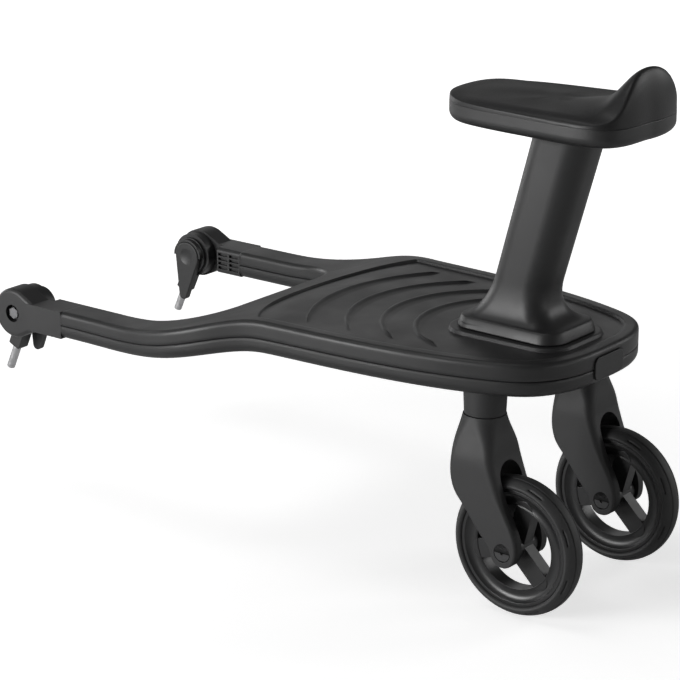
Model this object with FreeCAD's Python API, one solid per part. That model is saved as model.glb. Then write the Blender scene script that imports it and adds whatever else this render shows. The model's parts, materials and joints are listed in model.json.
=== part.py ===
import FreeCAD, Part
import math
import os
from FreeCAD import Vector

# Wheels
wheel_diameter = 127.0
tyre_width = 24.5
tyre_depth = 10.5
tyre_bulge_share = 0.36
tyre_edge_width = 19.5
tread_groove_width = 1.4
tread_groove_depth = 1.9
tread_groove_offset = 5.0
rim_depth = 14.5
rim_channel_width = 12.0
rim_lip = 2.6
spoke_count = 3
spoke_width = 17.5
spoke_thickness = 13.0
spoke_overlap = 6.5
spoke_turn_deg = 14.5
hub_radius = 11.0
hub_length = 27.0
hub_bush_wall = 2.5
hub_bush_length = 11.0
hub_flange_radius = 9.0
hub_flange_thickness = 1.2
axle_radius = 4.0
axle_head_radius = 7.6
axle_head_gap = 0.7
axle_head_thickness = 2.6
axle_socket_radius = 1.6
axle_socket_depth = 1.5

# Casters
caster_spacing = 158.0
caster_trail = 37.5
fork_rise = 113.5
fork_width = 51.0
fork_slot_width = 31.0
fork_slot_clearance = 12.5
fork_slot_round = 15.3
fork_top_radius = 18.9
fork_shares = [
    (1.0, 0.506, 0.494, 0.741, 0.98), (0.938, 0.522, 0.507, 0.792, 0.85), (0.85, 0.54, 0.55, 0.863, 0.59),
    (0.745, 0.555, 0.606, 0.949, 0.4), (0.63, 0.565, 0.668, 1.0, 0.31), (0.542, 0.561, 0.756, 1.0, 0.27),
    (0.463, 0.51, 0.84, 1.0, 0.24), (0.392, 0.398, 0.92, 1.0, 0.2), (0.304, 0.16, 1.053, 1.0, 0.18),
    (0.19, -0.12, 1.24, 1.0, 0.18), (0.07, -0.44, 1.36, 1.0, 0.18), (0.0, -0.62, 1.36, 1.0, 0.18),
    (-0.06, -0.69, 1.31, 1.0, 0.18), (-0.1, -0.8, 1.2, 1.0, 0.15), (-0.117, -0.93, 1.07, 1.0, 0.05),
]
kingpin_radius = 6.0
kingpin_seat = 24.0
clip_thickness = 1.6
clip_width = 3.5
clip_gap = 0.3
kingpin_head_gap = 0.5
swivel_gap = 0.6
collar_height = 22.4
collar_top_radius = 19.3
collar_bottom_radius = 18.3
collar_grip = 21.0
bush_wall = 3.0
bush_flange_width = 4.0
bush_flange_thickness = 2.0
boss_wall = 4.0

# Board: plan, side profile and walls
board_length = 512.0
board_width = 306.0
rear_overhang = 36.0
deck_length = 371.0
deck_depth = 31.0
arm_width = 34.0
arm_depth = 26.5
arm_drop = 30.8
crotch_radius = 58.0
fall_start = 281.0
fall_length = 175.0
fall_shares = (0.3, 0.5)
seam_depth = 16.0
seam_groove_height = 1.2
seam_groove_depth = 1.4
top_edge_round = 4.0
bottom_edge_round = 8.0
side_wall = 4.0
top_wall = 3.4
floor_wall = 3.5
outline_shares = [
    (0.3, 0.0065), (0.545, 0.047), (0.668, 0.118), (0.765, 0.23), (0.82, 0.36), (0.845, 0.5),
    (0.874, 0.584), (0.95, 0.654), (0.999, 0.74), (0.975, 0.842), (0.961, 1.0),
]

# Standing panel and its wave ridges
panel_inset = 13.0
panel_depth = 2.6
panel_front = 335.0
panel_front_round = 190.0
wave_height = 2.0
wave_root = 1.0
wave_reach_share = 0.93
wave_count = 4
wave_first = 290.0
wave_step = 34.0
wave_reach = 101.0
wave_reach_step = 5.0
wave_sweep = 38.0
wave_sweep_step = 10.0
wave_thickness = 11.0
wave_shares = [(0.35, 0.5), (1.0, 0.16)]

# Fasteners in the board
screw_radius = 2.0
screw_head_radius = 3.6
screw_head_height = 2.4
screw_bite = 8.0
screw_clearance = 0.1
screw_boss_radius = 5.0
screw_place_shares = [(0.66, 0.27), (0.69, 0.47), (0.3, 0.62), (0.875, 0.8)]

# Seat post, its foot and the socket in the deck
post_base_width = 80.0
post_base_length = 112.0
post_base_round = 20.0
post_base_band = 11.0
post_base_offset = 86.7
post_lean_deg = 15.8
post_axis_offset = 6.6
post_waist_width = 49.8
post_waist_length = 57.6
post_waist_round = 20.0
post_top_width = 51.8
post_top_length = 59.6
post_top_round = 21.0
post_height = 185.3
post_head_growth = 8.0
post_head_height = 12.0
post_flare_height = 50.0
flare_shares = [(0.0, 0.94), (0.12, 0.7), (0.3, 0.38), (0.55, 0.13), (1.0, 0.0)]
post_head_shares = [(0.0, 0.0), (0.4, 0.08), (0.75, 0.38), (1.0, 1.0)]
post_wall = 3.2
post_roof = 6.0
post_gap = 0.5
plinth_margin = 6.0
plinth_height = 0.6
foot_width = 46.0
foot_length = 52.0
foot_round = 12.0
foot_flange_height = 5.0
foot_play = 0.3
socket_wall = 2.6
socket_depth = 12.5
socket_flange = 6.0
socket_flange_thickness = 2.0

# Seat latch
button_width = 44.0
button_height = 20.0
button_round = 6.0
button_proud = 1.2
button_play = 0.3
button_travel = 4.0
button_flange = 3.0
button_flange_thickness = 2.0
button_flange_gap = 1.5
latch_thickness = 4.0
latch_rail = 8.0
latch_play = 2.5
latch_seat_gap = 0.3
latch_tooth_width = 20.0
spring_radius = 4.0
spring_wire = 0.8
spring_turns = 5
spring_length = 15.0
spring_post_play = 0.4
spring_stop_thickness = 4.0
spring_end_gap = 0.3

# Seat
seat_width = 124.0
seat_length = 193.5
seat_front = 120.0
pan_depth = 16.7
pan_edge_round = 8.5
pan_wall = 3.5
pan_pocket_depth = 11.0
pad_crown_height = 9.5
pad_tail_height = 46.5
seat_outline_shares = [
    (0.0, 0.0), (0.56, 0.012), (0.88, 0.07), (1.0, 0.19), (0.985, 0.38), (0.945, 0.58),
    (0.885, 0.76), (0.74, 0.9), (0.42, 0.98), (0.0, 1.0),
]
pad_crown_shares = [
    (1.0, 0.1), (0.94, 0.4), (0.83, 0.66), (0.66, 0.85), (0.43, 0.95), (0.2, 0.99), (0.0, 1.0),
]
pad_tail_shares = [
    (1.0, 0.07), (0.82, 0.17), (0.66, 0.35), (0.55, 0.57), (0.42, 0.81), (0.22, 0.96), (0.0, 1.0),
]
pad_rise_shares = [
    (1.03, -0.02), (0.84, 0.0), (0.58, 0.0), (0.34, 0.02), (0.22, 0.12),
    (0.13, 0.48), (0.06, 0.88), (0.01, 1.0), (-0.03, 0.98),
]
seat_screw_place_share = 0.27

# Arm heads and couplings
head_reach = 63.5
head_radius = 24.0
head_inner_gap = 22.5
head_tail_length = 30.0
head_neck_length = 37.0
head_edge_round = 4.0
head_bore_radius = 8.5
head_bore_depth = 7.0
vent_rows = 4
vent_columns = 2
vent_width = 12.0
vent_height = 3.0
vent_depth = 3.0
vent_pitch_y = 14.5
vent_pitch_z = 4.6
clamp_radius = 4.0
clamp_play = 0.05
nut_width = 10.0
nut_height = 5.5
ring_radius = 17.0
ring_thickness = 1.6
holder_radius = 22.0
holder_thickness = 11.0
holder_gap = 0.35
holder_boss_width = 13.0
holder_boss_length = 46.0
holder_boss_clearance = 1.5
holder_boss_round = 3.0
pin_radius = 4.0
pin_reach = 72.0
pin_floor = 1.0
pin_shank_radius = 3.4
pin_neck = 0.6
pin_round = 1.5
pin_lean_deg = 24.5
collar_ring_radius = 18.5
collar_ring_thickness = 3.0
collar_hood_wall = 2.2
collar_hood_length = 5.0
lever_radius = 15.0
lever_tip_radius = 5.0
lever_length = 47.0
lever_thickness = 6.0
lever_lean_deg = 8.0
lever_edge_round = 1.2
lever_dimple_radius = 26.0
lever_dimple_depth = 1.4
lever_play = 0.3

# One overrun serves all cuts
overrun = 2.0

# How near an edge lies to a line or plane to be taken as on it
near = 0.05

# Heights and places that follow from the sizes above
axle_z = wheel_diameter / 2
fork_top_z = axle_z + fork_rise
collar_z = fork_top_z + swivel_gap
deck_floor_z = collar_z + collar_height
deck_top_z = deck_floor_z + deck_depth
arm_top_z = deck_top_z - arm_drop
head_z = arm_top_z - arm_depth / 2
rear_y = -rear_overhang
arm_end_y = rear_y + board_length
crotch_y = rear_y + deck_length
fall_y = rear_y + fall_start
fall_end_y = fall_y + fall_length
board_half = board_width / 2
arm_outer_x = board_half * outline_shares[-1][0]
gap_half = arm_outer_x - arm_width
head_y = arm_end_y + head_reach
post_y = rear_y + post_base_offset
seam_z = deck_top_z - seam_depth
arm_seam_z = arm_top_z - arm_depth / 2
post_base_z = deck_top_z + plinth_height + post_gap
pan_z = post_base_z + post_height
pan_top_z = pan_z + pan_depth
seat_rear_y = seat_front - seat_length
caster_x = caster_spacing / 2
roof_depth = panel_depth + top_wall
roof_z = deck_top_z - roof_depth

ORIGIN = Vector(0, 0, 0)
X_AXIS = Vector(1, 0, 0)
Y_AXIS = Vector(0, 1, 0)
Z_AXIS = Vector(0, 0, 1)
SIDES = (("left", -1), ("right", 1))


# Small shape helpers
def line(a, b):
    return Part.LineSegment(a, b).toShape()


def arc(a, b, c):
    return Part.Arc(a, b, c).toShape()


def spline(points, start=None, end=None):
    curve = Part.BSplineCurve()
    if start is None:
        curve.interpolate(Points=points)
    else:
        curve.interpolate(Points=points, InitialTangent=start, FinalTangent=end)
    return curve


def face(edges):
    return Part.Face(Part.Wire(Part.__sortEdges__(edges)))


def prism(edges, start, length, axis):
    return face(edges).translated(axis * start).extrude(axis * length)


def rod(radius, length, base, axis):
    return Part.makeCylinder(radius, length, base, axis)


def tube(outer, inner, length, base, axis):
    return rod(outer, length, base, axis).cut(rod(inner, length, base, axis))


def box(low, high):
    size = high - low
    return Part.makeBox(size.x, size.y, size.z, low)


def fused(shapes):
    return shapes[0].multiFuse(shapes[1:]).removeSplitter()


def round_rect_edges(width, length, radius, centre):
    """Level rounded rectangle, four sides and four corner arcs, about a centre."""
    a = width / 2
    b = length / 2
    edges = []
    corners = [(1, 1), (-1, 1), (-1, -1), (1, -1)]
    diagonal = radius * (1 - math.sqrt(0.5))
    for index, (sx, sy) in enumerate(corners):
        p = centre + Vector(sx * a, sy * (b - radius), 0)
        q = centre + Vector(sx * (a - radius), sy * b, 0)
        mid = centre + Vector(sx * (a - diagonal), sy * (b - diagonal), 0)
        first, last = (p, q) if sx * sy > 0 else (q, p)
        edges.append(arc(first, mid, last))
        nx, ny = corners[(index + 1) % len(corners)]
        if nx == sx:
            edges.append(line(last, centre + Vector(nx * a, ny * (b - radius), 0)))
        else:
            edges.append(line(last, centre + Vector(nx * (a - radius), ny * b, 0)))
    return edges


def round_rect(width, length, radius, centre, height):
    return prism(round_rect_edges(width, length, radius, centre), 0, height, Z_AXIS)


def mirrored(shape):
    return shape.mirror(ORIGIN, X_AXIS)


# Board: a plan outline and a side profile cut each other
def outline_points():
    return [Vector(x * board_half, rear_y + y * board_length, 0) for x, y in outline_shares]


def outer_curve(inset):
    """Outer edge of the board from the left arm's end, round the rear, to the right arm's end."""
    rear = Vector(0, rear_y, 0)
    right = outline_points()
    run = [Vector(-p.x, p.y, 0) for p in reversed(right)] + [rear] + right
    curve = spline(run, Vector(0, -1, 0), Vector(0, 1, 0))
    if inset == 0:
        return curve
    moved = []
    for point in run:
        along = curve.tangent(curve.parameter(point))[0]
        moved.append(point + Vector(-along.y, along.x, 0) * inset)
    return spline(moved, Vector(0, -1, 0), Vector(0, 1, 0))


def gap_edges(inset, end_y):
    """Edges of the gap between the arms, right side to left, moved into the board by an inset."""
    half = gap_half + inset
    front = crotch_y - inset
    radius = crotch_radius + inset
    diagonal = radius * (1 - math.sqrt(0.5))
    side = front + radius
    bend = half - diagonal
    return [
        line(Vector(half, end_y, 0), Vector(half, side, 0)),
        arc(Vector(half, side, 0), Vector(bend, front + diagonal, 0), Vector(half - radius, front, 0)),
        line(Vector(half - radius, front, 0), Vector(radius - half, front, 0)),
        arc(Vector(radius - half, front, 0), Vector(-bend, front + diagonal, 0), Vector(-half, side, 0)),
        line(Vector(-half, side, 0), Vector(-half, end_y, 0)),
    ]


def plan_edges(inset):
    curve = outer_curve(inset)
    left = curve.value(curve.FirstParameter)
    right = curve.value(curve.LastParameter)
    inner = gap_half + inset
    ends = [line(right, Vector(inner, right.y, 0)), line(Vector(-inner, left.y, 0), left)]
    return [curve.toShape()] + ends + gap_edges(inset, right.y)


def fall_edges(deck_z, arm_z, start_y, end_y):
    """Side line of the board: level over the deck, then one smooth fall to the level of the arms."""
    rear = Vector(0, start_y, deck_z)
    top = Vector(0, fall_y, deck_z)
    foot = Vector(0, fall_end_y, arm_z)
    front = Vector(0, end_y, arm_z)
    curve = Part.BezierCurve()
    lead, tail = fall_shares
    curve.setPoles([
        top,
        top + Y_AXIS * lead * fall_length,
        foot - Y_AXIS * (1 - tail) * fall_length,
        foot,
    ])
    return [line(rear, top), curve.toShape(), line(foot, front)]


def side_body(top, floor, start_y, end_y):
    """Solid as wide as the board between two side lines, each a (deck height, arm height) pair."""
    edges = fall_edges(top[0], top[1], start_y, end_y) + fall_edges(floor[0], floor[1], start_y, end_y)
    edges.append(line(Vector(0, start_y, floor[0]), Vector(0, start_y, top[0])))
    edges.append(line(Vector(0, end_y, floor[1]), Vector(0, end_y, top[1])))
    return prism(edges, -board_width, 2 * board_width, X_AXIS)


def level(depth):
    """Deck and arm heights of the top line moved down by a depth."""
    return (deck_top_z - depth, arm_top_z - depth)


def above(line_heights):
    """Everything of the board above a side line."""
    roof = (deck_top_z + deck_depth, arm_top_z + deck_depth)
    return side_body(roof, line_heights, rear_y - board_length, arm_end_y + board_length)


def plan_prism(edges):
    low = head_z - deck_depth
    return prism(edges, low, deck_top_z + deck_depth - low, Z_AXIS)


def rim_edges(solid, deck_z, arm_z):
    """Edges of a solid that lie on a side line, without the ones that cross the board."""
    profile = Part.Wire(fall_edges(deck_z, arm_z, rear_y, arm_end_y))
    crossings = (fall_y, fall_end_y, arm_end_y)
    chosen = []
    for edge in solid.Edges:
        middle = edge.valueAt((edge.FirstParameter + edge.LastParameter) / 2)
        gap = Part.Vertex(Vector(0, middle.y, middle.z)).distToShape(profile)[0]
        crossing = min(abs(middle.y - y) for y in crossings)
        if gap < near and crossing > near:
            chosen.append(edge)
    return chosen


def board_body():
    floor = (deck_floor_z, arm_top_z - arm_depth)
    body = plan_prism(plan_edges(0)).common(side_body(level(0), floor, rear_y - overrun, arm_end_y))
    body = body.makeFillet(top_edge_round, rim_edges(body, *level(0)))
    return body.makeFillet(bottom_edge_round, rim_edges(body, *floor))


def board_cavity():
    roof = level(roof_depth)
    floor = (deck_floor_z + floor_wall, arm_top_z - arm_depth + floor_wall)
    plan = plan_prism(plan_edges(side_wall))
    return plan.common(side_body(roof, floor, rear_y, arm_end_y - side_wall))


def seam_line(shift):
    return (seam_z + shift, arm_seam_z + shift)


def seam_groove():
    half = seam_groove_height / 2
    band = side_body(seam_line(half), seam_line(-half), rear_y - overrun, arm_end_y + overrun)
    return band.cut(plan_prism(plan_edges(seam_groove_depth)))


def panel_column():
    """Upright block over the part of the deck that lies inside its raised rim."""
    curve = outer_curve(panel_inset)
    left = curve.value(curve.FirstParameter)
    right = curve.value(curve.LastParameter)
    return prism([curve.toShape(), line(right, left)], 0, deck_top_z + deck_depth, Z_AXIS)


def standing_panel():
    """Sunken floor of the deck, rounded at its front."""
    centre = Vector(0, rear_y + panel_front - panel_front_round, 0)
    rear_half = box(
        Vector(-board_half, rear_y, 0), Vector(board_half, centre.y, deck_top_z + deck_depth)
    )
    front = rod(panel_front_round, deck_top_z + deck_depth, centre, Z_AXIS)
    return panel_column().common(front.fuse(rear_half)).common(above(level(panel_depth)))


def wave_wire(apex, ends, reach, thickness, z):
    """Crescent between two arcs that meet at both ends."""
    right = Vector(reach, ends, z)
    left = Vector(-reach, ends, z)
    outer = arc(left, Vector(0, apex, z), right)
    inner = arc(right, Vector(0, apex - thickness, z), left)
    return Part.Wire([outer, inner])


def wave_ridge(index):
    """One raised wave: a wide crescent on the panel that narrows to a thin crest at its front edge."""
    apex = rear_y + wave_first - index * wave_step
    reach = wave_reach - index * wave_reach_step
    ends = apex - wave_sweep - index * wave_sweep_step
    floor_z = deck_top_z - panel_depth
    wires = [
        wave_wire(apex, ends, reach, wave_thickness, floor_z - wave_root),
        wave_wire(apex, ends, reach, wave_thickness, floor_z),
    ]
    for up, wide in wave_shares:
        short = reach * (1 - (1 - wave_reach_share) * up)
        drop = (apex - ends) * (short / reach) ** 2
        wires.append(wave_wire(apex, apex - drop, short, wave_thickness * wide, floor_z + wave_height * up))
    return Part.makeLoft(wires, True, True)


def screw_places():
    places = []
    for x, y in screw_place_shares:
        for sign in (-1, 1):
            places.append((sign * x * board_half, rear_y + y * board_length))
    return places


def profile_height(y, heights):
    """Height of a side line at one place along the board."""
    crossing = Part.Wire(fall_edges(heights[0], heights[1], rear_y, arm_end_y))
    post = line(Vector(0, y, 0), Vector(0, y, deck_top_z + deck_depth))
    return post.distToShape(crossing)[1][0][0].z


def board_shells():
    """Hollow board split along its seam line, with a shadow groove round the outside of the seam."""
    cavity = board_cavity()
    upper_space = above(seam_line(0))
    hollow = board_body().cut(seam_groove()).cut(cavity)
    return hollow.common(upper_space), hollow.cut(upper_space), cavity, upper_space


def screw_bosses(cavity):
    posts = [
        rod(screw_boss_radius, deck_top_z, Vector(x, y, 0), Z_AXIS) for x, y in screw_places()
    ]
    return cavity.common(posts[0].multiFuse(posts[1:]))


def deck_screws():
    """Countersunk cap screws from below, through the lower shell into the upper one."""
    screws = []
    holes = []
    floor = (deck_floor_z, arm_top_z - arm_depth)
    for x, y in screw_places():
        low = profile_height(y, floor)
        tip = profile_height(y, seam_line(0)) + screw_bite
        high = low + floor_wall
        base = Vector(x, y, high - screw_head_height)
        shank = rod(screw_radius, tip - high, Vector(x, y, high), Z_AXIS)
        head = rod(screw_head_radius, screw_head_height, base, Z_AXIS)
        screws.append(head.fuse(shank))
        hole = rod(screw_radius + screw_clearance, tip - high + overrun, Vector(x, y, high), Z_AXIS)
        sink = rod(
            screw_head_radius + screw_clearance, high - low + overrun, Vector(x, y, low - overrun), Z_AXIS
        )
        holes.append(hole.fuse(sink))
    return Part.makeCompound(screws), holes


# Seat socket, latch and release button
def socket_width():
    return foot_width + 2 * foot_play


def socket_length():
    return foot_length + 2 * foot_play


def socket_tube(margin, low, height):
    return round_rect(
        socket_width() + 2 * margin,
        socket_length() + 2 * margin,
        foot_round + foot_play + margin,
        Vector(0, post_y, low),
        height,
    )


def seat_socket():
    """Lined well that takes the foot of the seat post, hung under the deck's top wall by a flange."""
    low = roof_z - socket_depth
    outside = socket_tube(socket_wall, low, deck_top_z + plinth_height - low)
    flange = socket_tube(socket_flange, roof_z - socket_flange_thickness, socket_flange_thickness)
    return outside.fuse(flange).cut(socket_tube(0, low - overrun, deck_depth + overrun))


def button_solid(start_y, end_y, grow):
    """Upright rounded plate of the button's outline between two places along the board."""
    width = button_width + 2 * grow
    height = button_height + 2 * grow
    plate = round_rect(width, height, button_round + grow, ORIGIN, end_y - start_y)
    plate.rotate(ORIGIN, X_AXIS, 90)
    plate.translate(Vector(0, end_y, seam_z))
    return plate


def latch_z():
    return deck_floor_z + floor_wall + latch_seat_gap


def button_back_y():
    """Inner face of the flange that keeps the button in."""
    return rear_y + side_wall + button_flange_gap + button_flange_thickness


def release_button():
    """Push button in the rear wall, with a flange behind the wall that keeps it in."""
    back = button_back_y()
    cap = button_solid(rear_y - button_proud, back, 0)
    half = button_width / 2 + button_flange
    reach = button_height / 2 - button_round
    flange = box(
        Vector(-half, back - button_flange_thickness, seam_z - reach), Vector(half, back, seam_z + reach)
    )
    stem = box(
        Vector(-latch_tooth_width / 2, back, latch_z()),
        Vector(latch_tooth_width / 2, back + latch_rail, seam_z),
    )
    return fused([cap, flange, stem])


def latch_plate():
    """Loop round the foot: pressing the button carries its front bar and tooth away from the foot."""
    low = latch_z()
    start = button_back_y() + latch_rail
    half = foot_width / 2 + latch_play + foot_play
    front = post_y + foot_length / 2 + latch_play + button_travel
    loop = box(
        Vector(-half - latch_rail, start, low),
        Vector(half + latch_rail, front + latch_rail, low + latch_thickness),
    )
    rear = post_y - foot_length / 2 - button_travel - latch_play
    window = box(Vector(-half, rear, low - overrun), Vector(half, front, low + latch_thickness + overrun))
    tooth = box(
        Vector(-latch_tooth_width / 2, post_y + foot_length / 2 + latch_play, low),
        Vector(latch_tooth_width / 2, front, low + latch_thickness),
    )
    return fused([loop.cut(window), tooth])


def spring_start_y():
    return post_y + foot_length / 2 + latch_play + button_travel + latch_rail + spring_end_gap


def latch_spring():
    """Coil that pushes the latch and the button back out, wound as half turns of a helix."""
    radius = spring_radius - spring_wire / 2
    pitch = spring_length / spring_turns
    centre_z = latch_z() + spring_radius
    start = spring_start_y() + spring_wire / 2
    usable = (spring_length - spring_wire) / spring_length

    def point(turn):
        angle = 2 * math.pi * turn
        return Vector(
            radius * math.cos(angle), start + pitch * usable * turn, centre_z + radius * math.sin(angle)
        )

    steps = 4 * spring_turns
    edges = []
    for step in range(steps):
        a = step / 4
        edges.append(arc(point(a), point(a + 1 / 8), point(a + 1 / 4)))
    path = Part.Wire(edges)
    along = edges[0].tangentAt(edges[0].FirstParameter)
    section = Part.Wire(Part.makeCircle(spring_wire / 2, point(0), along))
    return Part.Solid(path.makePipeShell([section], True, False))


def spring_stop():
    """Wall of the lower shell that the far end of the spring pushes on, with a peg inside the coil."""
    low = deck_floor_z + floor_wall
    start = spring_start_y() + spring_length + spring_end_gap
    wall = box(
        Vector(-2 * spring_radius, start, low),
        Vector(2 * spring_radius, start + spring_stop_thickness, low + latch_seat_gap + 2 * spring_radius),
    )
    peg_radius = spring_radius - spring_wire - spring_post_play
    foot = Vector(0, start - spring_length / 2, latch_z() + spring_radius)
    peg = rod(peg_radius, spring_length / 2, foot, Y_AXIS)
    return wall.fuse(peg)


# Casters: collar and bush on the board, then fork, kingpin, axle and wheel
def bush_outer():
    return kingpin_radius + clamp_play + bush_wall


def bush_top_z():
    above_bush = kingpin_head_gap + 2 * clip_thickness + clip_gap + bush_flange_thickness
    return roof_z - above_bush


def caster_collar(x):
    base = Vector(x, caster_trail, collar_z)
    cone = Part.makeCone(collar_bottom_radius, collar_top_radius, collar_height, base, Z_AXIS)
    return cone.cut(rod(bush_outer(), collar_height, base, Z_AXIS))


def swivel_bush(x):
    low = deck_floor_z - collar_grip
    base = Vector(x, caster_trail, low)
    sleeve = rod(bush_outer(), bush_top_z() - low, base, Z_AXIS)
    seat = Vector(x, caster_trail, bush_top_z())
    flange = rod(bush_outer() + bush_flange_width, bush_flange_thickness, seat, Z_AXIS)
    bore = rod(kingpin_radius + clamp_play, deck_top_z, Vector(x, caster_trail, 0), Z_AXIS)
    return sleeve.fuse(flange).removeSplitter().cut(bore)


def caster_boss(x):
    low = Vector(x, caster_trail, deck_floor_z)
    return rod(bush_outer() + boss_wall, bush_top_z() - deck_floor_z, low, Z_AXIS)


def caster_hole(x):
    return rod(bush_outer(), deck_depth + overrun, Vector(x, caster_trail, deck_floor_z - overrun), Z_AXIS)


def kingpin_top_z():
    return bush_top_z() + bush_flange_thickness + clip_gap + 2 * clip_thickness


def clip_groove_radius():
    return kingpin_radius - clip_thickness / 2


def kingpin(x):
    low = fork_top_z - kingpin_seat
    clip_low = bush_top_z() + bush_flange_thickness + clip_gap
    pin = rod(kingpin_radius, kingpin_top_z() - low, Vector(x, caster_trail, low), Z_AXIS)
    groove_low = Vector(x, caster_trail, clip_low)
    groove = tube(kingpin_radius + overrun, clip_groove_radius(), clip_thickness, groove_low, Z_AXIS)
    return pin.cut(groove)


def kingpin_clip(x):
    """Open ring that snaps into the groove near the top of the kingpin."""
    low = Vector(x, caster_trail, bush_top_z() + bush_flange_thickness + clip_gap)
    ring = tube(kingpin_radius + clip_width, clip_groove_radius(), clip_thickness, low, Z_AXIS)
    half = clip_groove_radius() * math.sqrt(0.5)
    reach = kingpin_radius + clip_width + overrun
    mouth = box(low + Vector(-half, 0, -overrun), low + Vector(half, reach, deck_depth))
    return ring.cut(mouth)


def fork_body():
    """Fork from a round top on the swivel axis, through a broad crown, to legs that run back to the axle."""
    wires = []
    for up, front, rear, wide, bend in fork_shares:
        low = caster_trail * (1 - rear)
        high = caster_trail * (1 + front)
        width = fork_width * wide
        radius = min(width, high - low) / 2 * bend
        centre = Vector(0, (low + high) / 2, axle_z + fork_rise * up)
        wires.append(Part.Wire(round_rect_edges(width, high - low, radius, centre)))
    return Part.makeLoft(wires, True, False)


def wheel_space():
    """Round-shouldered slot that the wheel turns in."""
    radius = wheel_diameter / 2 + fork_slot_clearance
    half = fork_slot_width / 2
    corner = fork_slot_round
    diagonal = corner * (1 - math.sqrt(0.5))
    centre = Vector(0, 0, axle_z)
    right = centre + Vector(half, 0, 0)
    top = Vector(0, 0, radius)
    a = right + top - Vector(0, 0, corner)
    b = right + top - Vector(corner, 0, 0)
    mid = right + top - Vector(diagonal, 0, diagonal)
    edges = [line(right, a), arc(a, mid, b)]
    flip = [Vector(-p.x, p.y, p.z) for p in (right, a, mid, b)]
    edges += [line(flip[0], flip[1]), arc(flip[1], flip[2], flip[3])]
    edges += [line(b, flip[3]), line(right, flip[0])]
    return face(edges).revolve(centre, X_AXIS, 360)


def caster_fork(x):
    half = fork_width / 2
    body = fork_body().cut(wheel_space())
    body = body.cut(rod(axle_radius, fork_width, Vector(-half, 0, axle_z), X_AXIS))
    head = axle_head_radius + axle_head_gap
    body = body.cut(rod(head, axle_head_thickness, Vector(-half, 0, axle_z), X_AXIS))
    body = body.cut(rod(head, axle_head_thickness, Vector(half - axle_head_thickness, 0, axle_z), X_AXIS))
    seat = rod(kingpin_radius, kingpin_seat, Vector(0, caster_trail, fork_top_z - kingpin_seat), Z_AXIS)
    return body.cut(seat).translated(Vector(x, 0, 0))


def axle_bolt(x):
    """Axle with its visible flat head on the left and a small drive socket."""
    left = Vector(x - fork_width / 2, 0, axle_z)
    head = rod(axle_head_radius, axle_head_thickness, left, X_AXIS)
    shank = rod(axle_radius, fork_width - axle_head_thickness, left, X_AXIS)
    socket = rod(axle_socket_radius, axle_socket_depth, left, X_AXIS)
    return head.fuse(shank).removeSplitter().cut(socket)


def axle_nut(x):
    start = Vector(x + fork_width / 2 - axle_head_thickness, 0, axle_z)
    return rod(axle_head_radius, axle_head_thickness, start, X_AXIS)


def rim_radius():
    return wheel_diameter / 2 - tyre_depth


def wheel_tyre(x):
    """Tyre: straight bead, bulged walls, a rounded crown and two grooves round the tread."""
    outer = wheel_diameter / 2
    inner = rim_radius()
    bead = tyre_edge_width / 2
    bulge = tyre_width / 2
    middle = inner + tyre_depth * tyre_bulge_share

    def at(width, radius):
        return Vector(x + width, 0, axle_z + radius)

    edges = [
        line(at(-bead, inner), at(bead, inner)),
        line(at(bead, inner), at(bulge, middle)),
        arc(at(bulge, middle), at(0, outer), at(-bulge, middle)),
        line(at(-bulge, middle), at(-bead, inner)),
    ]
    solid = face(edges).revolve(Vector(x, 0, axle_z), X_AXIS, 360)
    for sign in (-1, 1):
        start = Vector(x + sign * tread_groove_offset - tread_groove_width / 2, 0, axle_z)
        groove = tube(outer + overrun, outer - tread_groove_depth, tread_groove_width, start, X_AXIS)
        solid = solid.cut(groove)
    return solid


def spoke(x, angle):
    """One broad spoke with a round lobe that laps over the rim's channel."""
    half = spoke_width / 2
    reach = rim_radius() - rim_depth + spoke_overlap - half
    centre = Vector(0, 0, reach)
    edges = [
        line(Vector(0, -half, 0), Vector(0, -half, reach)),
        arc(Vector(0, -half, reach), centre + Vector(0, 0, half), Vector(0, half, reach)),
        line(Vector(0, half, reach), Vector(0, half, 0)),
        line(Vector(0, half, 0), Vector(0, -half, 0)),
    ]
    solid = prism(edges, -spoke_thickness / 2, spoke_thickness, X_AXIS)
    solid.rotate(ORIGIN, X_AXIS, angle)
    return solid.translated(Vector(x, 0, axle_z))


def wheel_rim(x):
    """Rim with dished channels on both faces, a hub and broad lapped spokes."""
    outer = rim_radius()
    inner = outer - rim_depth
    edge = tyre_edge_width / 2
    dish = rim_channel_width / 2
    lip = outer - rim_lip
    middle = (inner + lip) / 2

    def at(width, radius):
        return Vector(x + width, 0, axle_z + radius)

    edges = [
        line(at(-edge, outer), at(edge, outer)),
        line(at(edge, outer), at(edge, lip)),
        arc(at(edge, lip), at(dish, middle), at(edge - rim_lip, inner)),
        line(at(edge - rim_lip, inner), at(rim_lip - edge, inner)),
        arc(at(rim_lip - edge, inner), at(-dish, middle), at(-edge, lip)),
        line(at(-edge, lip), at(-edge, outer)),
    ]
    ring = face(edges).revolve(Vector(x, 0, axle_z), X_AXIS, 360)
    hub = rod(hub_radius, hub_length, Vector(x - hub_length / 2, 0, axle_z), X_AXIS)
    spokes = [spoke(x, spoke_turn_deg + 360 * n / spoke_count) for n in range(spoke_count)]
    rim = fused([ring, hub] + spokes)
    bore = rod(hub_bush_outer(), hub_length, Vector(x - hub_length / 2, 0, axle_z), X_AXIS)
    return rim.cut(bore)


def hub_bush_outer():
    return axle_radius + clamp_play + hub_bush_wall


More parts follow.
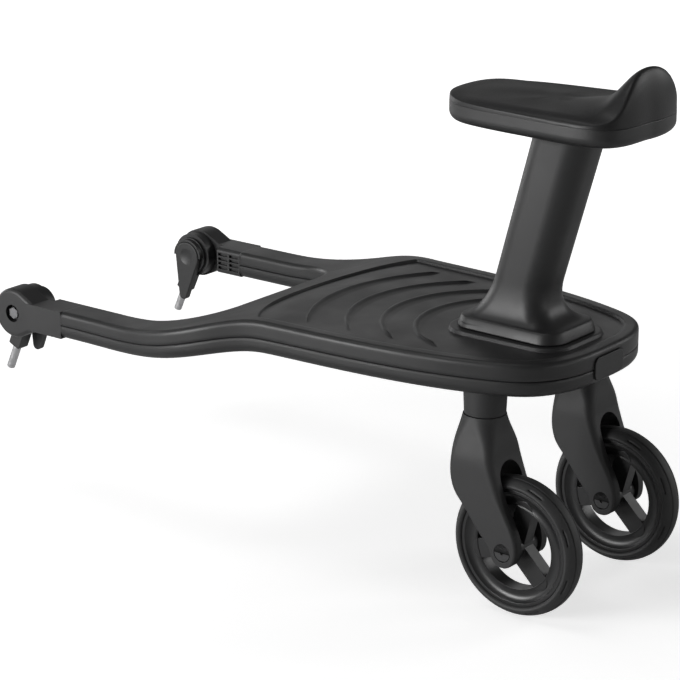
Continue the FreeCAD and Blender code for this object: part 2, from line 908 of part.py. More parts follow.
def hub_bushes(x):
    """A flanged bush pressed into each end of the hub."""
    bushes = []
    for sign in (-1, 1):
        face_x = x + sign * hub_length / 2
        axis = X_AXIS * -sign
        sleeve = rod(hub_bush_outer(), hub_bush_length, Vector(face_x, 0, axle_z), axis)
        flange = rod(hub_flange_radius, hub_flange_thickness, Vector(face_x, 0, axle_z), X_AXIS * sign)
        bore = rod(axle_radius + clamp_play, fork_width, Vector(x - fork_width / 2, 0, axle_z), X_AXIS)
        bushes.append(sleeve.fuse(flange).removeSplitter().cut(bore))
    return Part.makeCompound(bushes)


# Seat: post, foot, pan and pad
def post_section(z, flare_share, width, length, radius):
    """Level section of the leaning post, part of the way from a plain section to the wide base."""
    slope = math.tan(math.radians(post_lean_deg))
    lean = slope * (z - post_base_z - post_base_band)
    return Part.Wire(round_rect_edges(
        width + (post_base_width - width) * flare_share,
        length + (post_base_length - length) * flare_share,
        radius + (post_base_round - radius) * flare_share,
        Vector(0, post_y + post_axis_offset * (1 - flare_share) - lean, z),
    ))


def post_flare():
    """Hollow-sided foot of the post, from the upright band up to the waist."""
    low = post_base_z + post_base_band
    waist = (post_waist_width, post_waist_length, post_waist_round)
    wires = [post_section(low + post_flare_height * up, wide, *waist) for up, wide in flare_shares]
    return Part.makeLoft(wires, True, False)


def post_column():
    low = post_base_z + post_base_band + post_flare_height
    waist = post_section(low, 0, post_waist_width, post_waist_length, post_waist_round)
    top = post_section(pan_z, 0, post_top_width, post_top_length, post_top_round)
    return Part.makeLoft([waist, top], True, True)


def post_head():
    """Short flare of the post under the seat pan."""
    wires = []
    for up, wide in post_head_shares:
        share = 1 - post_head_height * (1 - up) / (post_height - post_base_band - post_flare_height)
        growth = post_head_growth * wide
        wires.append(post_section(
            pan_z - post_head_height * (1 - up),
            0,
            post_waist_width + (post_top_width - post_waist_width) * share + growth,
            post_waist_length + (post_top_length - post_waist_length) * share + growth,
            post_waist_round + (post_top_round - post_waist_round) * share + growth / 2,
        ))
    return Part.makeLoft(wires, True, False)


def base_block(margin, low, height):
    return round_rect(
        post_base_width - 2 * margin,
        post_base_length - 2 * margin,
        post_base_round - margin,
        Vector(0, post_y, low),
        height,
    )


def seat_post():
    """Hollow leaning column that flares into a wide base with an upright band."""
    base = base_block(0, post_base_z, post_base_band)
    outside = base.multiFuse([post_flare(), post_column(), post_head()]).removeSplitter()
    slope = math.tan(math.radians(post_lean_deg))
    reach = pan_z - post_roof - post_base_z
    width = post_waist_width - 2 * post_wall
    length = post_waist_length - 2 * post_wall
    start = Vector(0, post_y + post_axis_offset + slope * post_base_band, post_base_z)
    bore_edges = round_rect_edges(width, length, post_waist_round - post_wall, start)
    bore = face(bore_edges).extrude(Vector(0, -slope * reach, reach))
    hollow_base = base_block(post_wall, post_base_z - overrun, foot_flange_height + overrun)
    return outside.cut(bore.fuse(hollow_base)).cut(seat_screw_holes())


def post_foot():
    """Plug under the post that drops into the deck's socket, with a flange inside the post's base."""
    low = latch_z() - latch_seat_gap + foot_play
    stem = round_rect(foot_width, foot_length, foot_round, Vector(0, post_y, low), post_base_z - low)
    flange = base_block(post_wall, post_base_z, foot_flange_height)
    return fused([stem, flange])


def seat_outline(inset):
    half = seat_width / 2
    run = [Vector(x * half, seat_rear_y + y * seat_length, 0) for x, y in seat_outline_shares]
    run += [Vector(-p.x, p.y, 0) for p in reversed(run[1:-1])]
    curve = Part.BSplineCurve()
    curve.interpolate(Points=run, PeriodicFlag=True)
    if inset == 0:
        return curve
    moved = []
    for point in run:
        along = curve.tangent(curve.parameter(point))[0]
        moved.append(point + Vector(-along.y, along.x, 0) * inset)
    inner = Part.BSplineCurve()
    inner.interpolate(Points=moved, PeriodicFlag=True)
    return inner


def seat_screw_places():
    top = pan_z
    lean = math.tan(math.radians(post_lean_deg)) * (top - post_base_z - post_base_band)
    centre_y = post_y + post_axis_offset - lean
    dx = post_top_width * seat_screw_place_share
    dy = post_top_length * seat_screw_place_share
    return [Vector(sx * dx, centre_y + sy * dy, top) for sx in (-1, 1) for sy in (-1, 1)]


def seat_screw_holes():
    shanks = [
        rod(screw_radius + screw_clearance, post_roof + overrun, p - Z_AXIS * post_roof, Z_AXIS)
        for p in seat_screw_places()
    ]
    return shanks[0].multiFuse(shanks[1:])


def pan_floor():
    return pan_depth - pan_pocket_depth


def seat_screws():
    screws = []
    for p in seat_screw_places():
        shank = rod(screw_radius, post_roof + pan_floor(), p - Z_AXIS * post_roof, Z_AXIS)
        head = rod(screw_head_radius, screw_head_height, p + Z_AXIS * pan_floor(), Z_AXIS)
        screws.append(head.fuse(shank).removeSplitter())
    return Part.makeCompound(screws)


def seat_pan():
    """Hard tray under the pad, with a rounded lower edge."""
    tray = prism([seat_outline(0).toShape()], pan_z, pan_depth, Z_AXIS)
    low_edges = [e for e in tray.Edges if e.BoundBox.ZMax < pan_z + pan_depth / 2]
    tray = tray.makeFillet(pan_edge_round, low_edges)
    pocket = prism([seat_outline(pan_wall).toShape()], pan_z + pan_floor(), pan_depth, Z_AXIS)
    holes = [
        rod(screw_radius + screw_clearance, pan_depth, p, Z_AXIS) for p in seat_screw_places()
    ]
    return tray.cut(pocket).cut(holes[0].multiFuse(holes[1:]))


def seat_pad():
    """Crowned pad that rises into a rounded tail, lofted from crosswise sections."""
    half = seat_width / 2
    wires = []
    for along, rise in pad_rise_shares:
        y = seat_rear_y + along * seat_length
        right = []
        for (plain_x, plain_z), (tail_x, tail_z) in zip(pad_crown_shares, pad_tail_shares):
            x = half * (plain_x + (tail_x - plain_x) * rise)
            plain = pad_crown_height * plain_z
            z = pan_top_z + plain + (pad_tail_height * tail_z - plain) * rise
            right.append(Vector(x, y, z))
        left = [Vector(-v.x, y, v.z) for v in reversed(right[:-1])]
        low_r = Vector(half, y, pan_top_z)
        low_l = Vector(-half, y, pan_top_z)
        top = spline(right + left).toShape()
        wires.append(Part.Wire([line(low_l, low_r), line(low_r, right[0]), top, line(left[-1], low_l)]))
    body = Part.makeLoft(wires, True, False)
    plan = prism([seat_outline(0).toShape()], pan_z, pan_depth + 2 * pad_tail_height, Z_AXIS)
    return body.common(plan)


# Arm heads and couplings, drawn for the right side
def head_point(x, radius, angle_deg):
    """Point at a radius from the head's axis, its angle forward of straight down."""
    angle = math.radians(angle_deg)
    return Vector(x, head_y + radius * math.sin(angle), head_z - radius * math.cos(angle))


def head_web():
    """Side outline of the head: a round end joined to the arm by two tangent lines."""
    half = arm_depth / 2
    start = arm_end_y + head_neck_length
    reach = head_y - start
    distance = math.hypot(reach, half)
    spread = math.acos(head_radius / distance) + math.atan2(half, reach)
    touch_y = head_y - head_radius * math.cos(spread)
    touch_z = head_radius * math.sin(spread)

    def at(y, z):
        return Vector(0, y, head_z + z)

    return [
        line(at(arm_end_y, half), at(start, half)),
        line(at(start, half), at(touch_y, touch_z)),
        arc(at(touch_y, touch_z), at(head_y + head_radius, 0), at(touch_y, -touch_z)),
        line(at(touch_y, -touch_z), at(start, -half)),
        line(at(start, -half), at(arm_end_y, -half)),
        line(at(arm_end_y, -half), at(arm_end_y, half)),
    ]


def head_inner_x():
    return arm_outer_x - head_inner_gap


def arm_head():
    """Round end of an arm: drum, stepped hole for the clamp and small vents on the inner wall."""
    inner = head_inner_x()
    drum = prism(head_web(), inner, head_inner_gap, X_AXIS)
    outer_faces = [f for f in drum.Faces if abs(f.CenterOfMass.x - arm_outer_x) < near]
    rim = [e for e in outer_faces[0].Edges if e.BoundBox.YMin > arm_end_y + near]
    drum = drum.makeFillet(head_edge_round, rim)
    half = arm_depth / 2
    tail_end = min(head_y - holder_radius - holder_boss_clearance, arm_end_y + head_tail_length)
    tail = box(Vector(gap_half, arm_end_y, head_z - half), Vector(inner, tail_end, head_z + half))
    inner_edges = [e for e in tail.Edges if e.BoundBox.XMax < gap_half + near and e.BoundBox.ZLength < near]
    tail = tail.makeFillet(head_edge_round, [e for e in inner_edges if e.BoundBox.YLength > near])
    body = fused([drum, tail])
    bore_floor = head_point(arm_outer_x - head_bore_depth, 0, 0)
    body = body.cut(rod(head_bore_radius, head_bore_depth, bore_floor, X_AXIS))
    body = body.cut(rod(clamp_radius + clamp_play, board_half, head_point(0, 0, 0), X_AXIS))
    recess = rod(ring_radius + clamp_play, ring_thickness, head_point(inner, 0, 0), X_AXIS)
    return body.cut(recess).cut(vent_slots())


def vent_slots():
    first_y = arm_end_y + (head_tail_length - vent_pitch_y * (vent_columns - 1)) / 2
    slots = []
    for column in range(vent_columns):
        for row in range(vent_rows):
            y = first_y + column * vent_pitch_y
            z = head_z + (row - (vent_rows - 1) / 2) * vent_pitch_z
            low = Vector(gap_half - overrun, y - vent_width / 2, z - vent_height / 2)
            slots.append(box(low, low + Vector(vent_depth + overrun, vent_width, vent_height)))
    return slots[0].multiFuse(slots[1:])


def friction_ring():
    inner = head_inner_x()
    return tube(ring_radius, clamp_radius + screw_clearance, ring_thickness, head_point(inner, 0, 0), X_AXIS)


def holder_outer_x():
    return head_inner_x() - holder_gap


def pin_x():
    return head_inner_x() - pin_radius / 2


def pin_start():
    return head_radius + holder_boss_clearance + pin_floor


def pin_axis():
    return (head_point(0, 1, pin_lean_deg) - head_point(0, 0, 0)).normalize()


def pin_holder():
    """Disc beside the drum, with a boss under the drum that grips the coupling pin."""
    outer = holder_outer_x()
    disc = rod(holder_radius, holder_thickness, head_point(outer - holder_thickness, 0, 0), X_AXIS)
    half = holder_boss_width / 2
    low = pin_x() - half
    reach = head_radius + holder_boss_clearance
    arm = box(Vector(low, -half, 0), Vector(outer, half, holder_boss_length))
    boss = box(Vector(low, -half, reach), Vector(low + holder_boss_width, half, holder_boss_length))
    arm = arm.fuse(boss).removeSplitter()
    tip_edges = [e for e in arm.Edges if e.BoundBox.ZMin > holder_boss_length - near]
    arm = arm.makeFillet(holder_boss_round, tip_edges)
    arm.rotate(ORIGIN, X_AXIS, 180 + pin_lean_deg)
    arm.translate(head_point(0, 0, 0))
    bore = rod(clamp_radius + clamp_play, board_half, head_point(0, 0, 0), X_AXIS)
    room_start = head_point(pin_x(), pin_start(), pin_lean_deg)
    pin_room = rod(pin_shank_radius, holder_boss_length, room_start, pin_axis())
    return fused([disc, arm]).cut(bore).cut(pin_room)


def coupling_pin():
    """Steel pin with a thinner shank that is held in the boss."""
    shoulder = holder_boss_length + pin_neck
    start = head_point(pin_x(), shoulder, pin_lean_deg)
    pin = rod(pin_radius, pin_reach - shoulder, start, pin_axis())
    tip = head_point(pin_x(), pin_reach, pin_lean_deg)
    tip_edges = [e for e in pin.Edges if e.CenterOfMass.distanceToPoint(tip) < near]
    pin = pin.makeFillet(pin_round, tip_edges)
    foot = head_point(pin_x(), pin_start(), pin_lean_deg)
    shank = rod(pin_shank_radius, shoulder - pin_start(), foot, pin_axis())
    return fused([pin, shank])


def collar_inner_x():
    return holder_outer_x() - holder_thickness - lever_play


def lever_collar():
    """Stepped ring between holder and lever, with a hood over the top of the lever's round end."""
    base = collar_inner_x() - collar_ring_thickness
    ring = rod(collar_ring_radius, collar_ring_thickness, head_point(base, 0, 0), X_AXIS)
    inner = lever_radius + lever_play
    start = base - collar_hood_length
    hood = tube(inner + collar_hood_wall, inner, collar_hood_length, head_point(start, 0, 0), X_AXIS)
    far = head_point(base, 0, 0) + Vector(0, board_half, board_half)
    top = box(head_point(start, 0, 0) + Vector(0, -board_half, 0), far)
    bore = rod(clamp_radius + clamp_play, board_half, head_point(0, 0, 0), X_AXIS)
    return fused([ring, hood.common(top)]).cut(bore)


def lever_x():
    return collar_inner_x() - collar_ring_thickness - lever_thickness


def clamp_lever():
    """Drop-shaped lever with a shallow thumb dimple."""
    gap = lever_length - lever_tip_radius
    lean = math.asin((lever_radius - lever_tip_radius) / gap)

    def at(radius, angle, drop):
        return Vector(0, radius * math.cos(angle), radius * math.sin(angle) - drop)

    big_right = at(lever_radius, -lean, 0)
    big_left = at(lever_radius, math.pi + lean, 0)
    tip_right = at(lever_tip_radius, -lean, gap)
    tip_left = at(lever_tip_radius, math.pi + lean, gap)
    edges = [
        arc(big_right, at(lever_radius, math.pi / 2, 0), big_left),
        line(big_left, tip_left),
        arc(tip_left, at(lever_tip_radius, -math.pi / 2, gap), tip_right),
        line(tip_right, big_right),
    ]
    body = prism(edges, 0, lever_thickness, X_AXIS)
    rim = [e for e in body.Edges if e.BoundBox.XMax < near]
    body = body.makeFillet(lever_edge_round, rim)
    ball = Part.makeSphere(lever_dimple_radius, Vector(lever_dimple_depth - lever_dimple_radius, 0, 0))
    body = body.cut(ball)
    body.rotate(ORIGIN, X_AXIS, lever_lean_deg)
    body.translate(head_point(lever_x(), 0, 0))
    return body.cut(rod(clamp_radius, board_half, head_point(lever_x() + lever_thickness / 2, 0, 0), X_AXIS))


def clamp_bolt():
    start = lever_x() + lever_thickness / 2
    end = arm_outer_x - head_bore_depth + nut_height
    return rod(clamp_radius, end - start, head_point(start, 0, 0), X_AXIS)


def clamp_nut():
    start = arm_outer_x - head_bore_depth
    radius = nut_width / 2 / math.cos(math.pi / 6)
    corners = [head_point(start, radius, 60 * n) for n in range(6)]
    edges = [line(a, b) for a, b in zip(corners, corners[1:] + corners[:1])]
    body = face(edges).extrude(X_AXIS * nut_height)
    return body.cut(rod(clamp_radius + screw_clearance, nut_height, head_point(start, 0, 0), X_AXIS))


# Assembly of the board's two shells with what is moulded onto them
def deck_parts():
    upper, lower, cavity, upper_space = board_shells()
    bosses = screw_bosses(cavity)
    screws, screw_holes = deck_screws()
    holes = screw_holes[0].multiFuse(screw_holes[1:])
    panel = standing_panel()
    base = base_block(-plinth_margin, roof_z, deck_depth)
    ridges = [wave_ridge(index).common(panel).cut(base) for index in range(wave_count)]
    plinth = base_block(-plinth_margin, roof_z, roof_depth + plinth_height)
    upper = upper.fuse(bosses.common(upper_space)).cut(panel).multiFuse([plinth] + ridges).removeSplitter()
    upper = upper.cut(socket_tube(socket_wall, roof_z - socket_depth, deck_depth))
    lower_bosses = [caster_boss(sign * caster_x) for name, sign in SIDES] + [spring_stop()]
    lower = lower.fuse(bosses.cut(upper_space)).multiFuse(lower_bosses).removeSplitter()
    opening = button_solid(rear_y - overrun, rear_y + side_wall + overrun, button_play)
    for sign in (-1, 1):
        lower = lower.cut(caster_hole(sign * caster_x))
    return upper.cut(holes).cut(opening), lower.cut(holes).cut(opening), screws


def all_parts():
    parts = {}
    parts["deck_upper_shell"], parts["deck_lower_shell"], parts["deck_screws"] = deck_parts()
    parts["seat_socket"] = seat_socket()
    parts["release_button"] = release_button()
    parts["latch_plate"] = latch_plate()
    parts["latch_spring"] = latch_spring()
    parts["seat_post"] = seat_post()
    parts["post_foot"] = post_foot()
    parts["seat_pan"] = seat_pan()
    parts["seat_pad"] = seat_pad()
    parts["seat_screws"] = seat_screws()
    for name, sign in SIDES:
        x = sign * caster_x
        parts["caster_collar_" + name] = caster_collar(x)
        parts["swivel_bush_" + name] = swivel_bush(x)
        parts["kingpin_" + name] = kingpin(x)
        parts["kingpin_clip_" + name] = kingpin_clip(x)
        parts["caster_fork_" + name] = caster_fork(x)
        parts["axle_bolt_" + name] = axle_bolt(x)
        parts["axle_nut_" + name] = axle_nut(x)
        parts["wheel_tyre_" + name] = wheel_tyre(x)
        parts["wheel_rim_" + name] = wheel_rim(x)
        parts["hub_bushes_" + name] = hub_bushes(x)
    coupling = {
        "arm_head": arm_head(),
        "friction_ring": friction_ring(),
        "pin_holder": pin_holder(),
        "coupling_pin": coupling_pin(),
        "lever_collar": lever_collar(),
        "clamp_lever": clamp_lever(),
        "clamp_bolt": clamp_bolt(),
        "clamp_nut": clamp_nut(),
    }
    for piece, shape in coupling.items():
        parts[piece + "_right"] = shape
        parts[piece + "_left"] = mirrored(shape)
    return parts


def main():
    """Builds every piece, moves the origin under the middle of the whole and writes one file each."""
    parts = all_parts()
    whole = FreeCAD.BoundBox()
    for shape in parts.values():
        whole.add(shape.optimalBoundingBox())
    shift = Vector(0, -(whole.YMin + whole.YMax) / 2, -whole.ZMin)
    os.makedirs("parts", exist_ok=True)
    for name, shape in parts.items():
        shape.translated(shift).exportStep("parts/" + name + ".step")
        print(name, "valid" if shape.isValid() else "NOT VALID", len(shape.Solids), round(shape.Volume))
    print("size", round(whole.XLength, 2), round(whole.YLength, 2), round(whole.ZLength, 2))
    print("shift", round(shift.y, 4), round(shift.z, 4))


main()
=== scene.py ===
"""Looks of a ride-along board with a saddle seat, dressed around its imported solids."""

import json
import logging
import math
from dataclasses import dataclass
from enum import Enum

import bmesh
import bpy
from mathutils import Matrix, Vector
from mathutils.bvhtree import BVHTree


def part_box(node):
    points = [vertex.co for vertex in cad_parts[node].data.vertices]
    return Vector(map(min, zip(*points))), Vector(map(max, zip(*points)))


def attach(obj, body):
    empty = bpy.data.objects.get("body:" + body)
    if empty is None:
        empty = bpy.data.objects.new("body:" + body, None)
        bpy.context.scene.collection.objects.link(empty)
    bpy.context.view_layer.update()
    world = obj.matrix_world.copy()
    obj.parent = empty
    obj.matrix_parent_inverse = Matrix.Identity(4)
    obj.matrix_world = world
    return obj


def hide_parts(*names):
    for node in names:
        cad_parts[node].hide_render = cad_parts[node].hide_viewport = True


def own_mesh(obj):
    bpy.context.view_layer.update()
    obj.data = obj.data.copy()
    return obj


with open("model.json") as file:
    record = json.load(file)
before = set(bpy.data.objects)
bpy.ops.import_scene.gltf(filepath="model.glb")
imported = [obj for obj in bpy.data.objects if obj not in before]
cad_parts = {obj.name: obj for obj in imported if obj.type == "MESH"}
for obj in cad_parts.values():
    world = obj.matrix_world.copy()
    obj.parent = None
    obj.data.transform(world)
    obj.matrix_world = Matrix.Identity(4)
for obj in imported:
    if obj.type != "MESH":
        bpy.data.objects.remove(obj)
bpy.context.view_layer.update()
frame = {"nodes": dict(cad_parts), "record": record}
MM = 0.001
SIDES = ("left", "right")
DULL_STEEL = "dull_steel"
MERGE_GAP = 0.01 * MM
DOWN = Vector((0, 0, -1))
# Where most values of a noise lie
NOISE_SPAN = (0.3, 0.7)
# Cosines of the turn from a face to its rounded edge: full painted highlight and none at all
EDGE_TURN = (0.8, 0.99)
BEVEL_SAMPLES = 8
log = logging.getLogger("buggy_board")

Colour = tuple[float, float, float]
Point = tuple[float, float, float]
Size = tuple[float, float, float]
Span = tuple[float, float]
Level = tuple[float, float, Size]
Socket = bpy.types.NodeSocket


class Coat(Enum):
    """How a finish reflects: the roughness of its skin and how much that varies."""

    MATT = (0.58, 0.06)
    SATIN = (0.46, 0.06)
    SILKY = (0.36, 0.05)
    PLATED = (0.26, 0.10)
    OILED = (0.50, 0.04)


class NodeTree:
    """Small helper that adds and joins the nodes of one material."""

    def __init__(self, name: str) -> None:
        """Starts an empty node material of that name."""
        self.material = bpy.data.materials.new(name)
        self.material.use_nodes = True
        self.tree = self.material.node_tree
        self.shader = self.tree.nodes["Principled BSDF"]
        where = self.tree.nodes.new("ShaderNodeTexCoord")
        self.place = where.outputs["Object"]
        self.normal = where.outputs["Normal"]

    def add(self, kind: str, **inputs: object) -> bpy.types.Node:
        """Adds a node and sets or joins its inputs.

        Args:
            kind: the node's type.
            inputs: values or sockets by input name, with _ for a blank.

        Returns:
            The new node.
        """
        node = self.tree.nodes.new(kind)
        for name, value in inputs.items():
            socket = node.inputs[name.replace("_", " ")]
            if isinstance(value, Socket):
                self.tree.links.new(value, socket)
            else:
                socket.default_value = value
        return node

    def noise(self, scale: float, detail: float) -> Socket:
        """Noise factor on Object coordinates.

        Args:
            scale: cells per metre.
            detail: octaves of finer noise.

        Returns:
            The noise's factor.
        """
        node = self.add("ShaderNodeTexNoise", Vector=self.place, Scale=scale, Detail=detail)
        return node.outputs["Fac"]

    def spread(self, factor: Socket, reads: Span, gives: Span) -> Socket:
        """Maps a span of a factor to another span, held at both ends.

        Args:
            factor: the value that is mapped.
            reads: the span that is read.
            gives: what the two ends of that span give.

        Returns:
            The mapped value.
        """
        node = self.add("ShaderNodeMapRange", Value=factor)
        node.inputs["From Min"].default_value = reads[0]
        node.inputs["From Max"].default_value = reads[1]
        node.inputs["To Min"].default_value = gives[0]
        node.inputs["To Max"].default_value = gives[1]
        return node.outputs["Result"]

    def two_tone(self, factor: Socket, dark: Colour, light: Colour) -> Socket:
        """Blends two colours by a factor.

        Args:
            factor: share of the lighter colour.
            dark: the darker colour.
            light: the lighter colour.

        Returns:
            The blended colour.
        """
        ramp = self.add("ShaderNodeValToRGB", Fac=factor)
        ramp.color_ramp.elements[0].position = NOISE_SPAN[0]
        ramp.color_ramp.elements[0].color = (*dark, 1)
        ramp.color_ramp.elements[1].position = NOISE_SPAN[1]
        ramp.color_ramp.elements[1].color = (*light, 1)
        return ramp.outputs["Color"]

    def rounded(self, radius: float) -> Socket:
        """Normal that rounds sharp edges by a radius, as a mould does."""
        node = self.add("ShaderNodeBevel", Radius=radius)
        node.samples = BEVEL_SAMPLES
        return node.outputs["Normal"]

    def edge_highlight(self, rounded: Socket) -> Socket:
        """Mask of the rounded edges, where the base colour is lightened as a painted highlight.

        Args:
            rounded: the normal that rounds the edges.

        Returns:
            One on an edge, zero on a face.
        """
        face = self.add("ShaderNodeNewGeometry").outputs["Normal"]
        turn = self.tree.nodes.new("ShaderNodeVectorMath")
        turn.operation = "DOT_PRODUCT"
        self.tree.links.new(rounded, turn.inputs[0])
        self.tree.links.new(face, turn.inputs[1])
        return self.spread(turn.outputs["Value"], EDGE_TURN, (1.0, 0.0))

    def blend(self, factor: Socket, plain: Socket, over: Colour) -> Socket:
        """Lays one colour over another by a factor.

        Args:
            factor: share of the colour laid over.
            plain: the colour below.
            over: the colour laid over.

        Returns:
            The mixed colour.
        """
        node = self.tree.nodes.new("ShaderNodeMix")
        node.data_type = "RGBA"
        self.tree.links.new(factor, node.inputs["Factor"])
        colours = [socket for socket in node.inputs if socket.type == "RGBA"]
        self.tree.links.new(plain, colours[0])
        colours[1].default_value = (*over, 1)
        return [socket for socket in node.outputs if socket.type == "RGBA"][0]

    def join(self, value: Socket, socket: str) -> None:
        """Joins a value to one socket of the shader."""
        self.tree.links.new(value, self.shader.inputs[socket])


def shades(colour: Colour, shares: Span) -> tuple[Colour, Colour]:
    """A darker and a lighter shade of a colour."""
    return scaled(colour, shares[0]), scaled(colour, shares[1])


def scaled(colour: Colour, share: float) -> Colour:
    """A colour made darker or lighter by a share."""
    return tuple(min(1.0, part * share) for part in colour)


@dataclass(frozen=True)
class MouldedPlastic:
    """Moulded plastic: a spark-eroded grain, an uneven sheen and rounded edges lightened as a painted
    highlight.
    """

    slot: str
    colour: Colour
    coat: Coat = Coat.SATIN
    grain_per_metre: float = 2400.0
    grain_depth: float = 0.07 * MM
    mottle: float = 0.10
    edge: float = 0.7 * MM
    # Painted highlight: how much lighter the base colour is on the rounded edges
    edge_highlight_gain: float = 1.9
    grain_detail: float = 2.0
    grain_strength: float = 0.3
    cloud_per_metre: float = 20.0
    cloud_detail: float = 3.0

    def make(self) -> bpy.types.Material:
        """Builds the material.

        Returns:
            The node material.
        """
        nodes = NodeTree(self.slot)
        roughness, uneven = self.coat.value
        broad = nodes.noise(self.cloud_per_metre, self.cloud_detail)
        fine = nodes.noise(self.grain_per_metre, self.grain_detail)
        rounded = nodes.rounded(self.edge)
        edge_highlight = nodes.edge_highlight(rounded)
        plain = nodes.two_tone(broad, *shades(self.colour, (1 - self.mottle, 1 + self.mottle)))
        # Painted highlight: the rounded edges get a lighter base colour
        nodes.join(nodes.blend(edge_highlight, plain, scaled(self.colour, self.edge_highlight_gain)), "Base Color")
        nodes.join(nodes.spread(broad, NOISE_SPAN, (roughness - uneven, roughness + uneven)), "Roughness")
        bump = nodes.add("ShaderNodeBump", Height=fine, Distance=self.grain_depth, Normal=rounded)
        bump.inputs["Strength"].default_value = self.grain_strength
        nodes.join(bump.outputs["Normal"], "Normal")
        return nodes.material


@dataclass(frozen=True)
class GrainedSkin:
    """Soft foamed skin of the seat: pebbled grain that dulls the sheen."""

    slot: str
    colour: Colour
    pebbles_per_metre: float = 760.0
    pebble_depth: float = 0.22 * MM
    sheen: Span = (0.42, 0.76)
    gloss: float = 0.36
    upward: Span = (0.72, 0.95)
    grain: Span = (0.15, 0.6)
    pebble_span: Span = (0.0, 0.7)
    # Painted shade in the valleys between the pebbles: the span of the grain it covers, its share and its tone
    valley_span: Span = (0.0, 0.45)
    valley_shade_share: float = 0.4
    valley_shade_tone: float = 0.55
    cloud_per_metre: float = 26.0
    cloud_detail: float = 4.0
    cloud_shades: Span = (0.86, 1.16)
    fuzz: float = 0.06
    fuzz_roughness: float = 0.4

    def make(self) -> bpy.types.Material:
        """Builds the material.

        Returns:
            The node material.
        """
        nodes = NodeTree(self.slot)
        cells = nodes.add("ShaderNodeTexVoronoi", Vector=nodes.place, Scale=self.pebbles_per_metre)
        cells.feature = "SMOOTH_F1"
        facing = nodes.tree.nodes.new("ShaderNodeSeparateXYZ")
        nodes.tree.links.new(nodes.normal, facing.inputs[0])
        upward = nodes.spread(facing.outputs["Z"], self.upward, (0.0, 1.0))
        broad = nodes.noise(self.cloud_per_metre, self.cloud_detail)
        pebbles = nodes.spread(cells.outputs["Distance"], self.pebble_span, (1.0, 0.0))
        plain = nodes.two_tone(broad, *shades(self.colour, self.cloud_shades))
        # Painted shade: the valleys between the pebbles get a darker base colour
        pores_and_valley_shade = nodes.spread(pebbles, self.valley_span, (self.valley_shade_share, 0.0))
        nodes.join(nodes.blend(pores_and_valley_shade, plain, scaled(self.colour, self.valley_shade_tone)), "Base Color")
        nodes.join(nodes.spread(upward, (0.0, 1.0), self.sheen), "Roughness")
        grain = nodes.spread(upward, (0.0, 1.0), self.grain)
        bump = nodes.add("ShaderNodeBump", Height=pebbles, Strength=grain, Distance=self.pebble_depth)
        nodes.join(bump.outputs["Normal"], "Normal")
        nodes.shader.inputs["Specular IOR Level"].default_value = self.gloss
        nodes.shader.inputs["Sheen Weight"].default_value = self.fuzz
        nodes.shader.inputs["Sheen Roughness"].default_value = self.fuzz_roughness
        return nodes.material


@dataclass(frozen=True)
class TyreRubber:
    """Tyre rubber with a dull bloom and fine pores."""

    slot: str
    colour: Colour
    bloom_per_metre: float = 45.0
    bloom_detail: float = 5.0
    bloom_shades: Span = (0.8, 1.3)
    roughness: Span = (0.54, 0.66)
    pores_per_metre: float = 3000.0
    pore_detail: float = 2.0
    pore_strength: float = 0.25
    pore_depth: float = 0.08 * MM

    def make(self) -> bpy.types.Material:
        """Builds the material.

        Returns:
            The node material.
        """
        nodes = NodeTree(self.slot)
        bloom = nodes.noise(self.bloom_per_metre, self.bloom_detail)
        pores_and_valley_shade = nodes.noise(self.pores_per_metre, self.pore_detail)
        nodes.join(nodes.two_tone(bloom, *shades(self.colour, self.bloom_shades)), "Base Color")
        nodes.join(nodes.spread(bloom, NOISE_SPAN, self.roughness), "Roughness")
        bump = nodes.add("ShaderNodeBump", Height=pores_and_valley_shade, Strength=self.pore_strength, Distance=self.pore_depth)
        nodes.join(bump.outputs["Normal"], "Normal")
        return nodes.material


@dataclass(frozen=True)
class CoatedSteel:
    """Steel under a thin coat: clouded plating or a black oxide, with fine drawn lines."""

    slot: str
    colour: Colour
    coat: Coat = Coat.PLATED
    metal: float = 1.0
    edge: float = 0.3 * MM
    cloud_per_metre: float = 260.0
    cloud_detail: float = 4.0
    cloud_shades: Span = (0.86, 1.1)
    lines_per_metre: float = 4200.0
    line_detail: float = 1.0
    line_strength: float = 0.2
    line_depth: float = 0.03 * MM

    def make(self) -> bpy.types.Material:
        """Builds the material.

        Returns:
            The node material.
        """
        nodes = NodeTree(self.slot)
        roughness, uneven = self.coat.value
        cloud = nodes.noise(self.cloud_per_metre, self.cloud_detail)
        lines = nodes.noise(self.lines_per_metre, self.line_detail)
        rounded = nodes.rounded(self.edge)
        nodes.join(nodes.two_tone(cloud, *shades(self.colour, self.cloud_shades)), "Base Color")
        nodes.join(nodes.spread(cloud, NOISE_SPAN, (roughness, roughness + 2 * uneven)), "Roughness")
        bump = nodes.add("ShaderNodeBump", Height=lines, Distance=self.line_depth, Normal=rounded)
        bump.inputs["Strength"].default_value = self.line_strength
        nodes.join(bump.outputs["Normal"], "Normal")
        nodes.shader.inputs["Metallic"].default_value = self.metal
        return nodes.material


Finish = MouldedPlastic | GrainedSkin | TyreRubber | CoatedSteel

